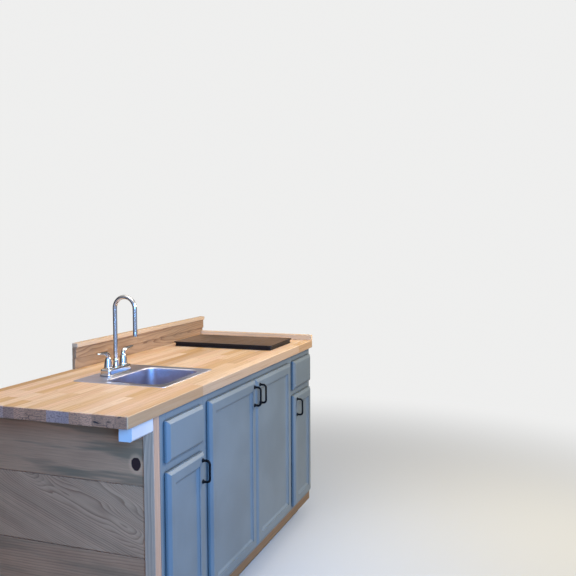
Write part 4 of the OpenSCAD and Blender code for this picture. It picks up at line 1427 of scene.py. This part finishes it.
class KITCHEN_OT_stage(bpy.types.Operator):
    """Lays the pale floor and sets the backdrop, the lamps and the camera"""

    bl_idname = "kitchen.stage"
    bl_label = "Stage"

    def execute(self, context):
        self.floor()
        self.world()
        self.lamps()
        self.camera()
        context.scene.view_settings.view_transform = "Standard"
        return {"FINISHED"}

    def floor(self):
        """A round floor just below the run."""
        reach = look().floor_reach
        bm = bmesh.new()
        bmesh.ops.create_circle(bm, cap_ends=True, radius=reach, segments=64)
        mesh = bpy.data.meshes.new("studio_floor")
        bm.to_mesh(mesh)
        bm.free()
        self.floor_material()
        mesh.materials.append(finish("studio_floor"))
        floor = put("studio_floor", mesh)
        floor.location.z = CAD_BOX[0].z - FLOOR_DROP

    def floor_material(self):
        """A pale floor that keeps the shadow near the run, and further off runs into the backdrop."""
        view = look()
        shade = open_material("studio_floor")
        path = shade.node("ShaderNodeLightPath").outputs
        seen = shade.math("MAXIMUM", path["Is Camera Ray"], path["Is Transmission Ray"])
        near = shade.mix(seen, hue("floor_bounce"), hue("floor"))
        place = shade.place()
        fade = shade.step(shade.distance(place), view.fade_start, view.fade_end)
        fade = shade.math("MULTIPLY", fade, shade.math("MAXIMUM", seen, path["Is Glossy Ray"]))
        far = shade.mix(path["Is Glossy Ray"], hue("backdrop"), self.room_tone(shade, place, -1.0))
        paper = shade.node("ShaderNodeBsdfPrincipled", {
            "Base Color": near, "Roughness": 0.75, "Specular IOR Level": 0.2,
        })
        glow = shade.node("ShaderNodeEmission", {"Color": far, "Strength": 1.0})
        final = shade.node("ShaderNodeMixShader", {0: fade, 1: paper.outputs[0], 2: glow.outputs[0]})
        output = shade.node("ShaderNodeOutputMaterial")
        shade.tree.links.new(final.outputs[0], output.inputs[0])

    def room_tone(self, shade, way, height):
        """What gloss sees along a way from the run: pale in front and at the left, dark elsewhere."""
        x, y, _ = shade.split(way)
        square = shade.math("ADD", shade.math("MULTIPLY", x, x), shade.math("MULTIPLY", y, y))
        level = shade.math("SQRT", square)
        turned = shade.math("MULTIPLY_ADD", x, PALE_WAY[0], shade.math("MULTIPLY", y, PALE_WAY[1]))
        share = shade.math("DIVIDE", turned, shade.math("MAXIMUM", level, 0.001))
        round_about = shade.mix(shade.step(share, -0.20, 0.35), hue("room_dark"), hue("room_pale"))
        return shade.mix(shade.step(height, 0.35, 0.80), round_about, hue("room_above"))

    def world(self):
        """A pale backdrop for what the camera and the gloss see, and a softer light from all round."""
        world = bpy.data.worlds.new("studio")
        bpy.context.scene.world = world
        world.use_nodes = True
        world.node_tree.nodes.clear()
        shade = Shade(world.node_tree)
        path = shade.node("ShaderNodeLightPath").outputs
        seen = shade.math("MAXIMUM", path["Is Camera Ray"], path["Is Transmission Ray"])
        way = shade.node("ShaderNodeTexCoord").outputs["Generated"]
        sky = self.room_tone(shade, way, shade.split(way)[2])
        glows = ((hue("backdrop"), 1.0), (sky, 1.0), (hue("soft_light"), look().world_light))
        seen_glow, gloss_glow, soft_glow = (
            shade.node("ShaderNodeBackground", {"Color": glow, "Strength": strength}).outputs[0]
            for glow, strength in glows
        )
        gloss = shade.node("ShaderNodeMixShader", {0: path["Is Glossy Ray"], 1: soft_glow, 2: gloss_glow})
        final = shade.node("ShaderNodeMixShader", {0: seen, 1: gloss.outputs[0], 2: seen_glow})
        output = shade.node("ShaderNodeOutputWorld")
        world.node_tree.links.new(final.outputs[0], output.inputs[0])

    def lamps(self):
        """Soft lamps that all face one point of the run."""
        view, aim = look(), Vector(LAMP_AIM)
        for name, (power, tint, width, place, spread) in LAMPS.items():
            data = bpy.data.lights.new(name, "AREA")
            data.energy = getattr(view, power)
            data.color = tint
            data.size = width
            data.spread = math.radians(spread)
            self.stand(put(name, data), place, aim - Vector(place))

    def camera(self):
        """The camera, at the photograph's place and angle."""
        view = look()
        level = math.cos(view.pitch)
        aim = Vector((math.cos(view.heading) * level, math.sin(view.heading) * level, math.sin(view.pitch)))
        data = bpy.data.cameras.new("photo_camera")
        data.lens = view.lens
        data.clip_end = 5 * view.floor_reach
        camera = put("photo_camera", data)
        self.stand(camera, view.camera_place, aim, view.roll)
        bpy.context.scene.camera = camera

    def stand(self, made, place, aim, roll=0.0):
        """Stands a lamp or the camera at its place and points it along aim."""
        made.location = place
        made.rotation_mode = "QUATERNION"
        made.rotation_quaternion = aim.to_track_quat("-Z", "Y") @ Quaternion((0.0, 0.0, 1.0), roll)


BUILDERS = (
    KITCHEN_OT_finishes, KITCHEN_OT_worktop, KITCHEN_OT_sink, KITCHEN_OT_tap, KITCHEN_OT_hob,
    KITCHEN_OT_face_frames, KITCHEN_OT_fronts, KITCHEN_OT_pulls, KITCHEN_OT_hinges, KITCHEN_OT_insides,
    KITCHEN_OT_end_panel, KITCHEN_OT_trim, KITCHEN_OT_stage,
)


class KITCHEN_PT_run(bpy.types.Panel):
    """Lists the steps that build the run"""

    bl_idname = "KITCHEN_PT_run"
    bl_label = "Kitchen Run"
    bl_space_type = "VIEW_3D"
    bl_region_type = "UI"
    bl_category = "Kitchen Run"

    def draw(self, context):
        for builder in BUILDERS:
            self.layout.operator(builder.bl_idname)


GROUPS = {"kitchen_sizes": RunSizes, "kitchen_colours": RunColours, "kitchen_view": RunView}
CLASSES = (*GROUPS.values(), *BUILDERS, KITCHEN_PT_run)


def register():
    for made in CLASSES:
        bpy.utils.register_class(made)
    for name, group in GROUPS.items():
        setattr(bpy.types.Scene, name, PointerProperty(type=group))


def unregister():
    for name in GROUPS:
        delattr(bpy.types.Scene, name)
    for made in reversed(CLASSES):
        bpy.utils.unregister_class(made)


def main():
    register()
    for builder in BUILDERS:
        area, name = builder.bl_idname.split(".")
        getattr(getattr(bpy.ops, area), name)()


if __name__ == "__main__":
    main()
